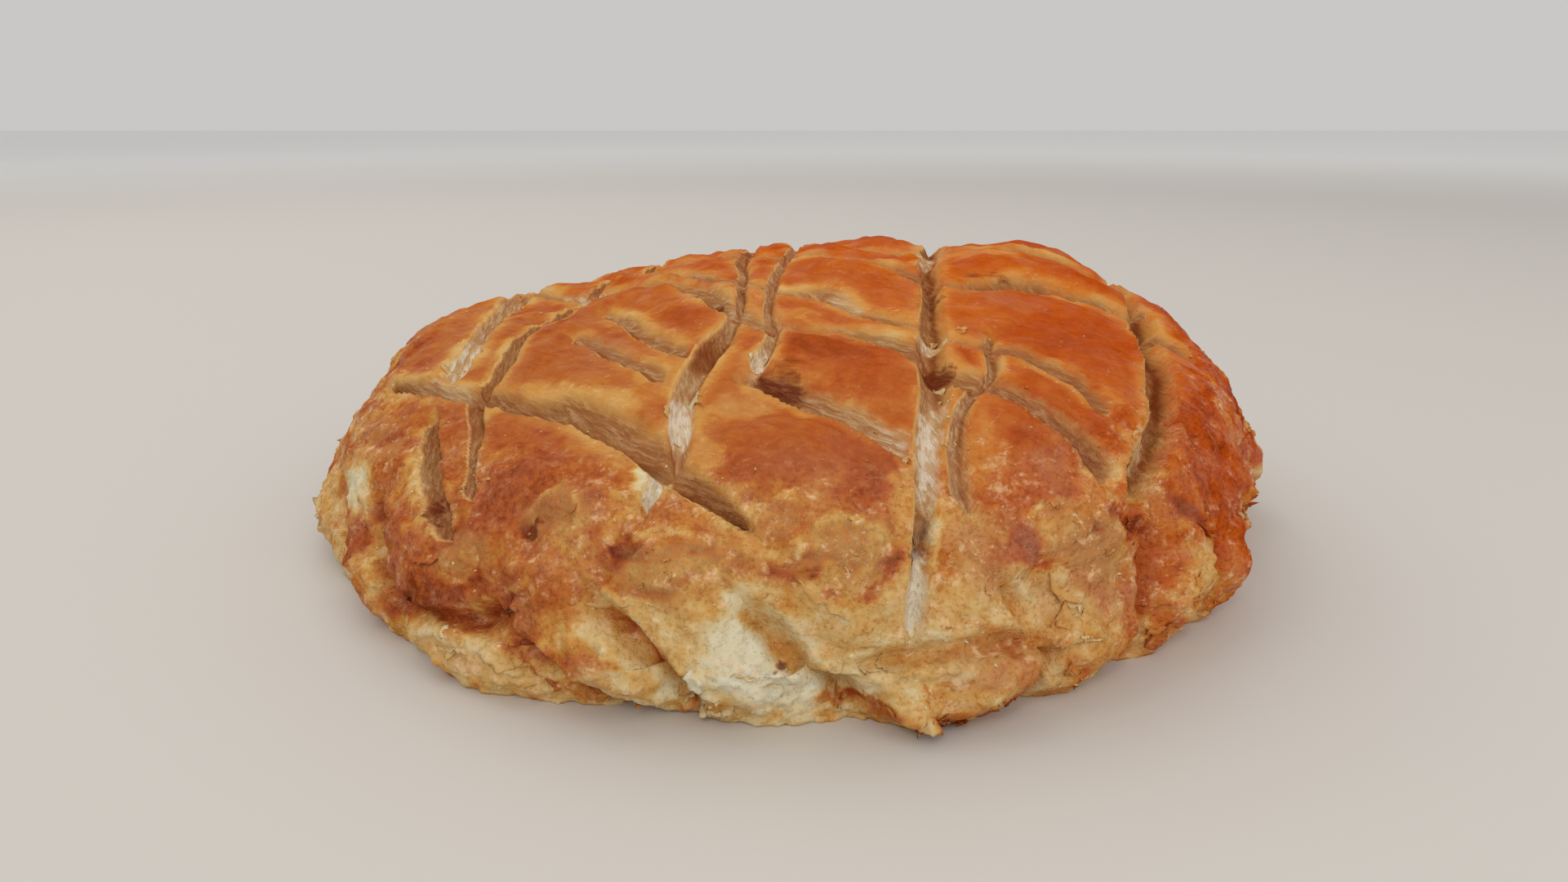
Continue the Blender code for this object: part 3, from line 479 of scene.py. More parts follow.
# Thin pale rims of skins and leaves
RIDGES = rows_of(Stroke, (
    (((-48, -99), (-44, -96), (-39, -97), (-37, -101), (-40, -105.5), (-46, -104)), 0.9, 0.4, 0.36),
    (((-30, -110), (-26, -107), (-20, -107.5), (-16, -110), (-17, -114), (-22, -115.5), (-28, -115)),
     0.9, 0.4, 0.3),
    (((1, -110), (3, -107.5), (8, -107), (12, -109), (14.5, -112)), 1, 0.6, 0.24),
    (((-2, -115.5), (2, -119), (6, -121.5), (9, -123)), 1, 0.7, 0.18),
    (((-1, -109.5), (0, -113)), 0.8, 0.5, 0.2), (((-5, -111), (-3, -115)), 0.7, 0.3, 0.28),
    (((40, -104), (45, -99.5), (51, -100), (55, -104), (52, -108), (45, -109)), 0.9, 0.4, 0.4),
    (((34, -112.5), (40, -115.5), (46.5, -119.5)), 0.8, 0.6, 0.16),
    (((42, -112), (47, -112.6), (52, -114.6), (54, -118)), 1.2, 0.9, 0.2),
    (((-66, -111.3), (-60, -111), (-52, -111.5), (-47, -110.6)), 0.6, 0.5, 0.3),
    (((-101, -84), (-97, -90), (-95, -97)), 1.2, 0.5, 0.4),
    (((-37, -117), (-32, -116.2), (-28, -118)), 1.2, 0.5, 0.16),
    (((17, -134), (22, -131), (28, -127.5), (34, -124.6), (41, -122.4), (48, -122), (53, -126)),
     1.3, 1, 0.5),
    (((22, -134.5), (27, -130.5), (33, -128)), 0.9, 0.4, 0.36),
    (((35, -121), (44, -120.4), (50, -121)), 0.7, 0.4, 0.3),
    (((78, -90.2), (84, -89.2), (86.6, -87.2), (89, -86.8)), 0.7, 0.5, 0.4),
    (((70, -100), (74, -107), (78.5, -112.5)), 0.9, 0.5, 0.36),
    (((81, -99), (86, -95), (91, -92.6)), 0.9, 0.5, 0.3),
    (((-20, -130.5), (-17.5, -133), (-17.8, -137), (-14.5, -141)), 0.8, 0.7, 0.02),
    (((-13, -128), (-8, -129.5), (-3, -134), (1, -138)), 0.9, 0.5, 0.04),
    (((-11, -134), (-8, -138), (-4, -141)), 0.8, 0.5, 0.04),
    (((-86, -108), (-80, -112), (-74, -114.5), (-68, -119)), 1, 0.6, 0.1),
    (((-68, -118), (-62, -123), (-57, -129)), 0.9, 0.5, 0.14),
    (((7.5, -112.5), (9.5, -113.4)), 0.5, 0.3, 0.1), (((38.8, -103.2), (40.6, -101.2)), 0.5, 0.5, 0),
    (((60, -103), (66, -106), (69, -112)), 1.2, 0.5, 0.46),
    (((53, -119), (57, -122), (60, -126)), 0.9, 0.5, 0.2),
    (((55, -117), (60, -119), (66, -121)), 0.8, 0.4, 0.24),
    (((-36, -124), (-33, -131), (-32, -138)), 1, 0.5, 0.2),
    (((-42, -130), (-37, -131), (-34, -134)), 0.9, 0.5, 0.4),
))

# Creases darker than the glaze about them: partly syrupy wash that ran together and browned, partly painted
# shade in the creases
BROWNED_AND_SHADED_CREASES = rows_of(Stroke, (
    (((-36, -113), (-30, -115.8), (-24, -116.8), (-19, -115.8), (-16, -112.6)), 0.9, -0.3, 0.8),
    (((-13, -113), (-8, -114.6), (-3, -116), (1, -117.2)), 1.1, -0.3, 0.76),
    (((2.5, -119), (8, -120.2), (12, -118.4), (14.5, -116), (17, -114.2)), 1.2, -0.4, 0.84, 0.1),
    (((12, -115), (15.5, -113.2), (17.6, -111.5)), 1.2, -0.3, 0.86, 0.1),
    (((0, -112), (2.4, -114.4), (1, -117)), 0.9, -0.3, 0.84),
    (((-36, -118.5), (-32, -121.5), (-28, -126), (-26, -130), (-24.6, -134), (-22.4, -139.5)),
     0.9, -0.7, 0.78, 0.12),
    (((-41, -126), (-36, -127.2), (-31, -129)), 0.8, -0.4, 0.74),
    (((-10.5, -121.5), (-7, -125), (-4, -128.2), (-1.4, -130.4)), 0.8, -0.8, 0.6, 0.16),
    (((1, -132.6), (6, -137), (11, -141.4)), 0.7, -0.5, 0.4, 0.1),
    (((3, -128.2), (12, -128), (20, -127.6), (27, -125.8)), 0.8, -0.7, 0.42),
    (((27, -122.4), (36, -122.8), (44, -123.6)), 0.8, -0.5, 0.6),
    (((-101, -79.6), (-95, -79), (-89, -76.6)), 1.1, -0.6, 0.86, 0.15),
    (((-88, -101), (-80, -102.6), (-73, -104)), 1, -0.4, 0.84),
    (((-66, -112), (-61, -116.5), (-57.5, -121), (-55, -128)), 1.1, -0.6, 0.84, 0.2),
    (((-66, -112.6), (-60, -112.6), (-52, -113), (-46, -112.6)), 0.9, -0.5, 0.84, 0.15),
    (((-98, -96), (-96, -101), (-93, -104)), 1.3, -0.4, 0.82),
    (((-72, -98.6), (-62, -98), (-53, -99)), 0.8, -0.3, 0.74),
    (((59, -99.2), (64, -98.6), (70, -97)), 1, -0.6, 0.92, 0.25),
    (((80, -83), (84, -81.8), (88, -83), (90, -86.4)), 0.9, -0.5, 0.84, 0.1),
    (((92.5, -81.4), (96, -79), (99, -76)), 1, -0.6, 0.9, 0.2),
    (((73, -91), (80, -91), (86, -89.6)), 0.8, -0.5, 0.86, 0.1),
    (((69, -98.4), (72, -104), (76, -110), (78, -116)), 0.9, -0.6, 0.8, 0.1),
    (((30, -110.6), (38, -111), (46, -110.4)), 1.1, -0.3, 0.84, 0.05),
    (((35.6, -103), (37, -107), (38.6, -110)), 1.2, -0.3, 0.84),
    (((46, -105), (48.4, -104.2), (50, -105)), 0.35, -0.4, 0.9, 0.4),
    (((49, -102.6), (52, -102.2), (54, -103.4)), 0.35, -0.4, 0.9, 0.4),
    (((44, -117.6), (48, -119.8), (54, -118.6)), 1.1, -0.7, 0.5),
    (((84, -105), (89, -103.4), (94, -100)), 0.9, -0.6, 0.76, 0.2),
    (((-48.6, -99.6), (-47.6, -102.6)), 1.3, -0.5, 0.95, 0.5),
    (((-33, -108.4), (-29, -109.6), (-27, -109.2)), 0.9, -0.3, 0.92, 0.25),
    (((20.6, -109.6), (20.8, -112.4)), 1.2, -0.4, 0.9, 0.4),
    (((-86, -70), (-84, -76)), 0.8, -0.2, 0.66), (((16, -143), (21, -140.6)), 1.2, -0.2, 0.64),
    (((-50, -124), (-45, -124.6), (-41, -127)), 1.6, -0.2, 0.8),
))


@dataclass(frozen=True)
class Box:
    """The solid's box, which every piece stays inside, by its two corners in metres."""

    lowest: Array
    highest: Array

    def kept(self, points: Array) -> Array:
        """Return the points, each moved back to the box where it is past it."""
        return np.clip(points, self.lowest, self.highest)


@dataclass(frozen=True)
class SurfaceState:
    """The crust's points in metres, and by name the fields that say what each one is made of."""

    points: Array
    fields: dict[str, Array]


@dataclass(frozen=True)
class Form:
    """Turns a place on the lid into a point of the worked crust, by the solid's own rules."""

    dome: Dome
    puff_height: float = 2.6 * MM
    puff_reach: float = 9.0 * MM
    puff_limit: float = 24.0 * MM
    puff_power: float = 1.5
    roll_height: float = 2.2 * MM
    roll_reach: float = 7.0 * MM
    lip_height: float = 0.5 * MM
    lip_width: float = 1.4 * MM
    section_power: float = 0.9
    end_width: float = 0.35
    cut_fade: float = 7.0
    fold_fade: float = 0.35
    step_width: float = 1.2 * MM
    step_reach: float = 9.0 * MM
    settle_reach: float = 12.0 * MM
    sharpness: float = 8.0
    plain_span: float = 3.0
    past_end: float = 2.5
    facing_limit: float = 1.5
    waver: Wave = Wave(26.0, 7, 0.45)
    soft_waves: tuple = rows_of(Wave, ((46.0, 8, 0.75), (21.0, 9, 0.425), (9.0, 10, 0.21), (4.2, 11, 0.08)))

    def seam_distance(self, points: Array, normals: Array, path: tuple) -> tuple[Array, Array]:
        """Return each point's signed distance to a path on the dome and its place along it, 0 to 1.

        The path is cut into short straight runs. A point's distance is that to its nearest run,
        and it is positive on the right-hand side, seen from outside.
        """
        azimuth, arc = self.dome.from_lid(catmull_rom(path, 3 * len(path) + 12))
        line = self.dome.points(azimuth, arc)
        start, run = line[:-1], np.diff(line, axis=0)
        near = np.full(len(points), self.puff_limit)
        side = np.ones(len(points))
        along = np.zeros(len(points))
        low, high = line.min(axis=0) - self.puff_limit, line.max(axis=0) + self.puff_limit
        inside = np.flatnonzero(np.all((points > low) & (points < high), axis=1))
        for k in range(len(start)):
            offset = points[inside] - start[k]
            t = np.clip(offset @ run[k] / (run[k] @ run[k]), 0.0, 1.0)
            apart = offset - t[:, None] * run[k]
            distance = np.linalg.norm(apart, axis=1)
            closer = distance < near[inside]
            chosen = inside[closer]
            near[chosen] = distance[closer]
            across = np.cross(run[k], normals[chosen])
            side[chosen] = np.where(np.einsum("ij,ij->i", apart[closer], across) < 0.0, -1.0, 1.0)
            along[chosen] = (k + t[closer]) / len(start)
        return near * side, along

    def taper(self, along: Array, seam: Seam) -> Array:
        """Return how full a seam is along its path: a cut fades at both ends, a fold at its top."""
        if seam.step:
            return smooth_step(along, 0.0, self.fold_fade)
        fade = self.cut_fade / np.linalg.norm(np.diff(np.array(seam.path), axis=0), axis=1).sum()
        return smooth_step(along, 0.0, fade) * smooth_step(1.0 - along, 0.0, fade)

    def nearness(self, reach: Array) -> Array:
        """Return how much a cut counts at a reach from its middle: the nearest outweighs the rest."""
        return (reach + 0.02) ** -self.sharpness

    def swelling(self, points: Array) -> Array:
        """Return the height of the soft waves and swells at each point."""
        height = MM * sum(wave.at(points) for wave in self.soft_waves)
        for swell in SWELLS + RULE_ROLLS:
            centre = self.dome.points(*self.dome.from_lid((swell.x, swell.y)))
            apart = np.linalg.norm(points - centre, axis=1)
            height += swell.height * MM * np.exp(-(apart / (swell.radius * MM)) ** 2)
        return height

    def scored(self, points: Array, normals: Array) -> tuple[Array, dict[str, Array]]:
        """Return the height that the cuts and folds give, and the fields that they set.

        span is 0 in the middle of a cut and 1 at its edge. across goes from 1 at its crisp edge to
        -1 at its soft one. tone and family are the nearest cut's. crease is 1 deep in a fold.
        """
        count = len(points)
        waver = MM * self.waver.at(points)
        height, groove, lip, crease = (np.zeros(count) for _ in range(4))
        nearest, nearest_fold = np.full(count, self.puff_limit), np.full(count, self.puff_limit)
        total = np.full(count, self.nearness(self.plain_span))
        mixed = total[:, None] * (0.0, 0.5, 0.5)
        for seam in CUTS + FOLDS + RULE_FOLDS:
            distance, along = self.seam_distance(points, normals, seam.path)
            taper = self.taper(along, seam)
            width = seam.widths(along) * (self.end_width + (1.0 - self.end_width) * taper)
            across = (distance + waver) / width
            u = np.clip(across, -1.0, 1.0)
            shifted = u + seam.lean * (1.0 - u * u)
            bowl = np.clip(1.0 - shifted ** 2, 0.0, 1.0) ** self.section_power
            groove = np.maximum(groove, seam.depth * MM * taper * bowl)
            edge = np.exp(-((np.abs(distance + waver) - width) / self.lip_width) ** 2)
            lip = np.maximum(lip, self.lip_height * taper * edge)
            apart = np.abs(distance)
            nearest = np.minimum(nearest, apart + (1.0 - taper) * self.puff_reach)
            if seam.step:
                nearest_fold = np.minimum(nearest_fold, apart + (1.0 - taper) * self.roll_reach)
                rise = np.tanh((distance + waver) / self.step_width) * np.exp(-apart / self.step_reach)
                height += 0.5 * seam.step * MM * taper * rise
                crease = np.maximum(crease, taper * smooth_step(np.abs(across), 1.0, 0.1))
                continue
            share = self.nearness(np.abs(across) + self.past_end * (1.0 - taper))
            facing = np.clip(across, -self.facing_limit, self.facing_limit) * (2.0 * seam.family.value - 1.0)
            tone = seam.tone[0] + (seam.tone[1] - seam.tone[0]) * along
            total += share
            family = np.full(count, seam.family.value)
            mixed += share[:, None] * np.stack((facing, tone, family), axis=-1)
        height -= self.puff_height * np.exp(-(nearest / self.puff_reach) ** self.puff_power)
        height -= self.roll_height * np.exp(-(nearest_fold / self.roll_reach) ** self.puff_power)
        across, tone, family = (mixed / total[:, None]).T
        fields = {"span": total ** (-1.0 / self.sharpness), "across": across, "tone": tone,
                  "family": family, "crease": crease}
        return height + lip - groove, fields


@dataclass(frozen=True)
class HiddenSide:
    """The rim's far side: it goes on by the rules of the near one, with seeded draws.

    Angles are degrees, counted from +x. Reaches are millimetres from the crown along the dome.
    """

    pitch: float = 15.0
    slant: float = 11.0
    side: tuple = (-30.0, 194.0)
    fold_reach: tuple = (120.0, 148.0)
    fold_points: int = 4
    fold_lean: float = 0.35
    uneven_pitch: tuple = (-0.2, 0.2)
    uneven_top: tuple = (-6.0, 4.0)
    shallow: tuple = (2.4, 2.8, 1.4)
    deep: tuple = (3.2, 3.9, 2.8)
    roll_reach: float = 133.0
    roll_radius: float = 13.0
    roll_height: tuple = (0.6, 3.2)
    fold_seed: int = 31
    patch_count: int = 64
    patch_side: tuple = (-22.0, 196.0)
    patch_reach: tuple = (108.0, 146.0)
    pale_from: float = 126.0
    pale_share: float = 0.55
    pale: tuple = (0.1, 0.34)
    brown: tuple = (0.5, 0.92)
    patch_weight: float = 0.8
    patch_slant: tuple = (10.0, 50.0)
    patch_length: tuple = (6.0, 13.0)
    patch_width: tuple = (3.0, 6.0)
    patch_seed: int = 12

    def folds(self) -> tuple[tuple[Seam, ...], tuple[Swell, ...]]:
        """Return the even folds round the rim, each slanted and uneven, and the rolls between."""
        draw = np.random.default_rng(self.fold_seed)
        pitch, slant = math.radians(self.pitch), math.radians(self.slant)
        first, last = (math.radians(end) for end in self.side)
        top, foot_arc = self.fold_reach
        folds, rolls = [], []
        for k in range(int((last - first) / pitch)):
            foot = first + (k + 0.5 + draw.uniform(*self.uneven_pitch)) * pitch
            arcs = np.linspace(top + draw.uniform(*self.uneven_top), foot_arc, self.fold_points)
            angles = foot - slant * (foot_arc - arcs) / (foot_arc - arcs[0])
            width, depth, step = draw.uniform(self.shallow, self.deep)
            path = tuple(zip(arcs * np.cos(angles), arcs * np.sin(angles)))
            folds.append(Seam(path, width, depth, self.fold_lean, -step))
            between = foot + 0.5 * (pitch - slant)
            x, y = self.roll_reach * math.cos(between), self.roll_reach * math.sin(between)
            rolls.append(Swell(x, y, self.roll_radius, draw.uniform(*self.roll_height)))
        return tuple(folds), tuple(rolls)

    def patches(self) -> tuple[Patch, ...]:
        """Return the rim's browned and pale places."""
        draw = np.random.default_rng(self.patch_seed)
        patches = []
        for _ in range(self.patch_count):
            azimuth = math.radians(draw.uniform(*self.patch_side))
            arc = draw.uniform(*self.patch_reach)
            pale = arc > self.pale_from and draw.random() < self.pale_share
            value = draw.uniform(*self.pale) if pale else draw.uniform(*self.brown)
            x, y = arc * math.cos(azimuth), arc * math.sin(azimuth)
            turn = math.degrees(azimuth) + 90.0 - draw.uniform(*self.patch_slant)
            reach, width = draw.uniform(*self.patch_length), draw.uniform(*self.patch_width)
            patches.append(Patch(x, y, reach, width, turn, value, self.patch_weight))
        return tuple(patches)


RULE_FOLDS, RULE_ROLLS = HiddenSide().folds()
HIDDEN_PATCHES = HiddenSide().patches()


@dataclass(frozen=True)
class Finish:
    """How the baked surface varies over the lid. Reaches are millimetres from the crown."""

    top: float = 0.66
    belly: float = 0.55
    foot: float = 0.36
    belly_reach: tuple = (96.0, 112.0)
    foot_reach: tuple = (118.0, 134.0)
    uneven_reach: tuple = (92.0, 106.0)
    uneven_low: float = 0.05
    clouds: Wave = Wave(22.0, 71, 0.03)
    blotches: Wave = Wave(8.0, 72)
    blotch_share: float = 0.015
    spots: Wave = Wave(3.6, 74, 1.0, 40)
    spot_share: float = 0.012
    gold: float = 0.17
    gold_change: Wave = Wave(14.0, 73, 0.07)
    gold_soft_side: float = 0.04
    gold_most: float = 0.34
    gold_width: float = 0.8
    ragged: tuple = ((Wave(7.0, 60, 0.8), Wave(2.6, 62, 0.4)), (Wave(7.0, 61, 0.8), Wave(2.6, 63, 0.4)))
    patch_edge: tuple = (1.3, 0.55)
    stroke_spread: float = 1.05
    stroke_reach: float = 3.0
    stroke_ends: tuple = (-0.02, 0.14)
    warm_middle: float = 0.42
    warm_slope: float = 0.0066
    warm_line: float = -45.0
    warm_most: float = 0.86
    # The back is cooler in colour: painted sheen of the glaze seen at a grazing angle
    back_sheen_reach: tuple = (20.0, 90.0)
    back_sheen_cooler: float = 0.35

    def ragged_lid(self, points: Array, lid: Array) -> Array:
        """Return the lid places shifted by soft waves, so that a patch's edge is ragged."""
        return lid + np.stack([sum(wave.at(points) for wave in pair) for pair in self.ragged], axis=-1)

    def cover(self, patch: Patch, lid: Array) -> Array:
        """Return how much of a patch lies at each place, 1 inside and fading to 0 at its edge."""
        turn = math.radians(patch.turn)
        dx, dy = lid[:, 0] - patch.x, lid[:, 1] - patch.y
        along = (dx * math.cos(turn) + dy * math.sin(turn)) / patch.reach
        across = (dy * math.cos(turn) - dx * math.sin(turn)) / patch.width
        return smooth_step(np.hypot(along, across), *self.patch_edge)

    def laid(self, patches: tuple, lid: Array, field: Array) -> Array:
        """Return a field after each patch in turn has drawn it towards its own value."""
        for patch in patches:
            field = field + patch.weight * self.cover(patch, lid) * (patch.value - field)
        return field

    def summed(self, patches: tuple, lid: Array) -> Array:
        """Return the strongest of several patches at each place."""
        field = np.zeros(len(lid))
        for patch in patches:
            field = np.maximum(field, patch.value * self.cover(patch, lid))
        return field

    def drawn(self, stroke: Stroke, lid: Array, broken: Array) -> Array:
        """Return how strongly a stroke shows at each place: 1 on its line, less where it is broken."""
        line = catmull_rom(stroke.path, 4 * len(stroke.path) + 4)
        span = self.stroke_reach * stroke.width
        field = np.zeros(len(lid))
        within = (lid > line.min(axis=0) - span) & (lid < line.max(axis=0) + span)
        near = np.flatnonzero(np.all(within, axis=1))
        apart = np.full(len(near), span)
        along = np.zeros(len(near))
        for k, (start, run) in enumerate(zip(line[:-1], np.diff(line, axis=0))):
            offset = lid[near] - start
            t = np.clip(offset @ run / (run @ run), 0.0, 1.0)
            distance = np.linalg.norm(offset - t[:, None] * run, axis=1)
            closer = distance < apart
            apart[closer] = distance[closer]
            along[closer] = (k + t[closer]) / (len(line) - 1)
        ends = smooth_step(np.minimum(along, 1.0 - along), *self.stroke_ends)
        field[near] = np.exp(-(apart / (self.stroke_spread * stroke.width)) ** 2) * ends * broken[near]
        return field

    def browning(self, points: Array, lid: Array, cuts: dict[str, Array], reach: Array) -> Array:
        """Return how brown the glaze is: darkest on top, golden at the cuts' edges, pale below."""
        field = self.top + (self.belly - self.top) * smooth_step(reach, *self.belly_reach)
        field += (self.foot - self.belly) * smooth_step(reach, *self.foot_reach)
        uneven = self.uneven_low * smooth_step(reach, *self.uneven_reach)
        field += self.clouds.at(points) + (self.blotch_share + uneven) * self.blotches.at(points)
        field += (self.spot_share + uneven) * self.spots.at(points)
        soft_side = self.gold_soft_side * smooth_step(cuts["across"], 0.2, -0.2)
        gold = np.clip(self.gold + self.gold_change.at(points) + soft_side, 0.0, self.gold_most)
        field -= gold * np.exp(-(np.maximum(cuts["span"] - 1.0, 0.0) / self.gold_width) ** 2)
        return self.laid(HIDDEN_PATCHES + BAKE_PATCHES, lid, field)

    def warmth(self, lid: Array) -> Array:
        """Return how warm the colour is: the oven was hotter to the right and the middle, and the cooler
        colour at the back is painted sheen.
        """
        warm = self.warm_middle + self.warm_slope * (lid[:, 0] + lid[:, 1] - self.warm_line)
        cooler = 1.0 - self.back_sheen_cooler * smooth_step(lid[:, 1], *self.back_sheen_reach)
        return np.clip(warm, 0.0, self.warm_most) * cooler


@dataclass(frozen=True)
class FineRelief:
    """Relief finer than the solid's: layers at the rim, burst skins, folds, wrinkles and grain.

    Heights are millimetres, and reaches are millimetres from the crown.
    """

    flaky_reach: tuple = (112.0, 132.0)
    flaky_share: tuple = (0.25, 1.0)
    flaky_bake: float = 1.25
    bare_bake: tuple = (0.24, 0.06)
    bare_reach: tuple = (104.0, 120.0)
    low_reach: tuple = (88.0, 106.0)
    dip: float = 9.0
    dip_phase: float = 1.2
    wander: Wave = Wave(17.0, 91, 1.6)
    strata_rise: float = 0.12
    strata_length: float = 2.9
    strata_waver: Wave = Wave(9.0, 92, 0.9)
    blister_rise: float = 0.9
    blister_dome: float = 0.45
    bubbles: Wave = Wave(2.9, 93, 0.14, 40)
    pit_depth: float = 0.4
    fold_rise: float = 0.2
    folds: tuple = (Wave(9.0, 98), Wave(4.0, 99, 0.4, 40))
    wrinkle_rise: float = 0.26
    wrinkles: tuple = (Wave(6.0, 101), Wave(2.8, 102, 0.4, 40))
    between_ridges: float = 0.9
    dent_rise: float = 0.1
    dents: Wave = Wave(4.6, 97, 1.0, 40)
    grain_rise: float = 0.05
    grain: Wave = Wave(1.9, 94, 1.0, 40)
    stroke_rise: float = 1.7
    stroke_breaks: Wave = Wave(5.0, 96, 0.3)
    stroke_shown: float = 0.85
    stroke_least: float = 0.3
    stroke_ragged: float = 0.3

    def layers(self, points: Array, height: Array, azimuth: Array) -> Array:
        """Return which of the dough's layers shows at each place, as its height when laid level."""
        return height / MM + self.dip * np.sin(3.0 * azimuth + self.dip_phase) + self.wander.at(points)

    def flaky(self, reach: Array, bake: Array) -> Array:
        """Return how far the layers stand apart: most at the rim, where it is palest."""
        return smooth_step(reach, *self.flaky_reach) * np.clip(self.flaky_bake - bake, *self.flaky_share)

    def ridged(self, points: Array, waves: tuple) -> Array:
        """Return a field with sharp valleys between rounded ridges, about zero."""
        return self.between_ridges - sum(np.abs(wave.at(points)) for wave in waves)

    def height(self, points: Array, fields: dict[str, Array], flaky: Array) -> Array:
        """Return the fine relief's height in metres: layers, burst skins, pits, folds and grain."""
        rough, bare, low = fields["rough"], fields["bare"], fields["low"]
        phase = math.pi * fields["layers"] / self.strata_length + self.strata_waver.at(points)
        height = self.strata_rise * flaky * (1.0 - 2.0 * np.abs(np.sin(phase)))
        height += self.blister_rise * (self.blister_dome * np.sqrt(rough) + rough * self.bubbles.at(points))
        height -= self.pit_depth * fields["burn"]
        height += self.fold_rise * bare * self.ridged(points, self.folds)
        height += self.wrinkle_rise * low * self.ridged(points, self.wrinkles)
        height += self.dent_rise * (1.0 + low) * self.dents.at(points)
        height += self.grain_rise * (0.5 + low + flaky + bare) * self.grain.at(points)
        return height * MM


@dataclass(frozen=True)
class Crust:
    """The whole skin of the galette: lid, belly, folded rim and resting face.

    underside gives the fields' values on the dry, evenly toasted resting face.
    """

    form: Form
    finish: Finish
    fine: FineRelief
    rings: int = 154
    crown_share: float = 1.3
    front_share: float = 0.3
    centre: tuple = (0.12 * MM, 1.19 * MM)
    floor_rings: tuple = (0.97, 0.6)
    # Painted shade: how much browner the crust is made deep in each fold
    fold_shade_bake: float = 0.16
    roughest: float = 0.6
    underside: tuple = (("span", 3.0), ("across", 0.0), ("tone", 0.5), ("family", 0.5), ("bake", 0.6),
                        ("burn", 0.0), ("painted_sheen", 0.0), ("rough", 0.35), ("bare", 1.0), ("low", 0.5),
                        ("layers", 0.0), ("warm", 0.3))
    underside_spots: Wave = Wave(6.0, 95, 0.05)

    def lid_grid(self) -> tuple[Array, Array]:
        """Return azimuth and arc of a square grid laid over the round lid.

        A square of side 2 is drawn out to a disc: the larger of |a| and |b| gives the arc, and the
        place along that square's side the azimuth. Steps are finer at the rim and at the front.
        """
        steps = np.linspace(-1.0, 1.0, 2 * self.rings + 1)
        a, b = np.meshgrid(steps, steps, indexing="ij")
        wide = np.abs(a) >= np.abs(b)
        reach = np.where(wide, np.abs(a), np.abs(b))
        safe_a, safe_b = np.where(a == 0.0, 1.0, a), np.where(b == 0.0, 1.0, b)
        eighth = 0.25 * math.pi
        azimuth = np.where(wide, eighth * b / safe_a + np.where(a < 0.0, math.pi, 0.0),
                           2.0 * eighth - eighth * a / safe_b + np.where(b < 0.0, math.pi, 0.0))
        azimuth -= self.front_share * np.cos(azimuth)
        share = self.crown_share * reach + (1.0 - self.crown_share) * reach ** 2
        return azimuth.ravel(), (self.form.dome.arc[-1] * share).ravel()

    def worked(self, azimuth: Array, arc: Array) -> SurfaceState:
        """Return the crust's points at places on the lid, and what each is made of.

        Every point is the dome's, moved along the normal by the sum of soft waves, swells, cuts,
        folds, strokes, blisters and torn layers.
        """
        dome = self.form.dome
        points, normals = dome.points(azimuth, arc), dome.normals(azimuth, arc)
        scored, fields = self.form.scored(points, normals)
        height = self.form.swelling(points) + scored
        height += self.finished(points, arc, azimuth, fields)
        stand = points[:, 2] + normals[:, 2] * height
        fields["layers"] = self.fine.layers(points, stand, azimuth)
        flaky = self.fine.flaky(arc / MM, fields["bake"])
        height += self.fine.height(points, fields, flaky)
        offset = normals * height[:, None]
        offset[:, 2] *= smooth_step(dome.arc[-1] - arc, 0.0, self.form.settle_reach)
        points = points + offset
        points[:, 2] = np.maximum(points[:, 2], 0.0)
        points[:, :2] -= self.centre
        return SurfaceState(points, fields)

    def finished(self, points: Array, arc: Array, azimuth: Array, fields: dict[str, Array]) -> Array:
        """Add the finish fields to those of the cuts, and return the height of the drawn strokes."""
        finish, fine, reach = self.finish, self.fine, arc / MM
        lid = reach[:, None] * np.stack((np.cos(azimuth), np.sin(azimuth)), axis=-1)
        ragged = finish.ragged_lid(points, lid)
        # Painted shade: the crust is made browner deep in each fold
        bake = finish.browning(points, ragged, fields, reach) + self.fold_shade_bake * fields.pop("crease")
        burn = finish.summed(BURN_PATCHES, ragged)
        lightly = lid + fine.stroke_ragged * (ragged - lid)
        broken = np.clip(fine.stroke_shown + fine.stroke_breaks.at(points), fine.stroke_least, 1.0)
        height = np.zeros(len(points))
        # Ridges are paler; creases are browned and partly darkened as painted shade
        for stroke in RIDGES + BROWNED_AND_SHADED_CREASES:
            shown = finish.drawn(stroke, lightly, broken)
            height += fine.stroke_rise * stroke.rise * MM * shown
            bake += stroke.weight * shown * (stroke.bake - bake)
            burn = np.maximum(burn, stroke.burn * shown)
        pale = smooth_step(bake, *fine.bare_bake) * smooth_step(reach, *fine.bare_reach)
        fields["tone"] = finish.laid(TORN_PATCHES, ragged, fields["tone"])
        fields["bake"], fields["burn"] = bake, burn
        fields["rough"] = finish.summed(BLISTERS, ragged) / self.roughest
        # Painted sheen: reflections on the glaze, painted into the colour
        fields["painted_sheen"] = finish.summed(PAINTED_SHEEN_PATCHES, ragged)
        fields["bare"] = np.maximum(finish.summed(BARE_PATCHES, ragged), pale)
        fields["low"] = smooth_step(reach, *fine.low_reach)
        fields["warm"] = finish.warmth(lid)
        return height

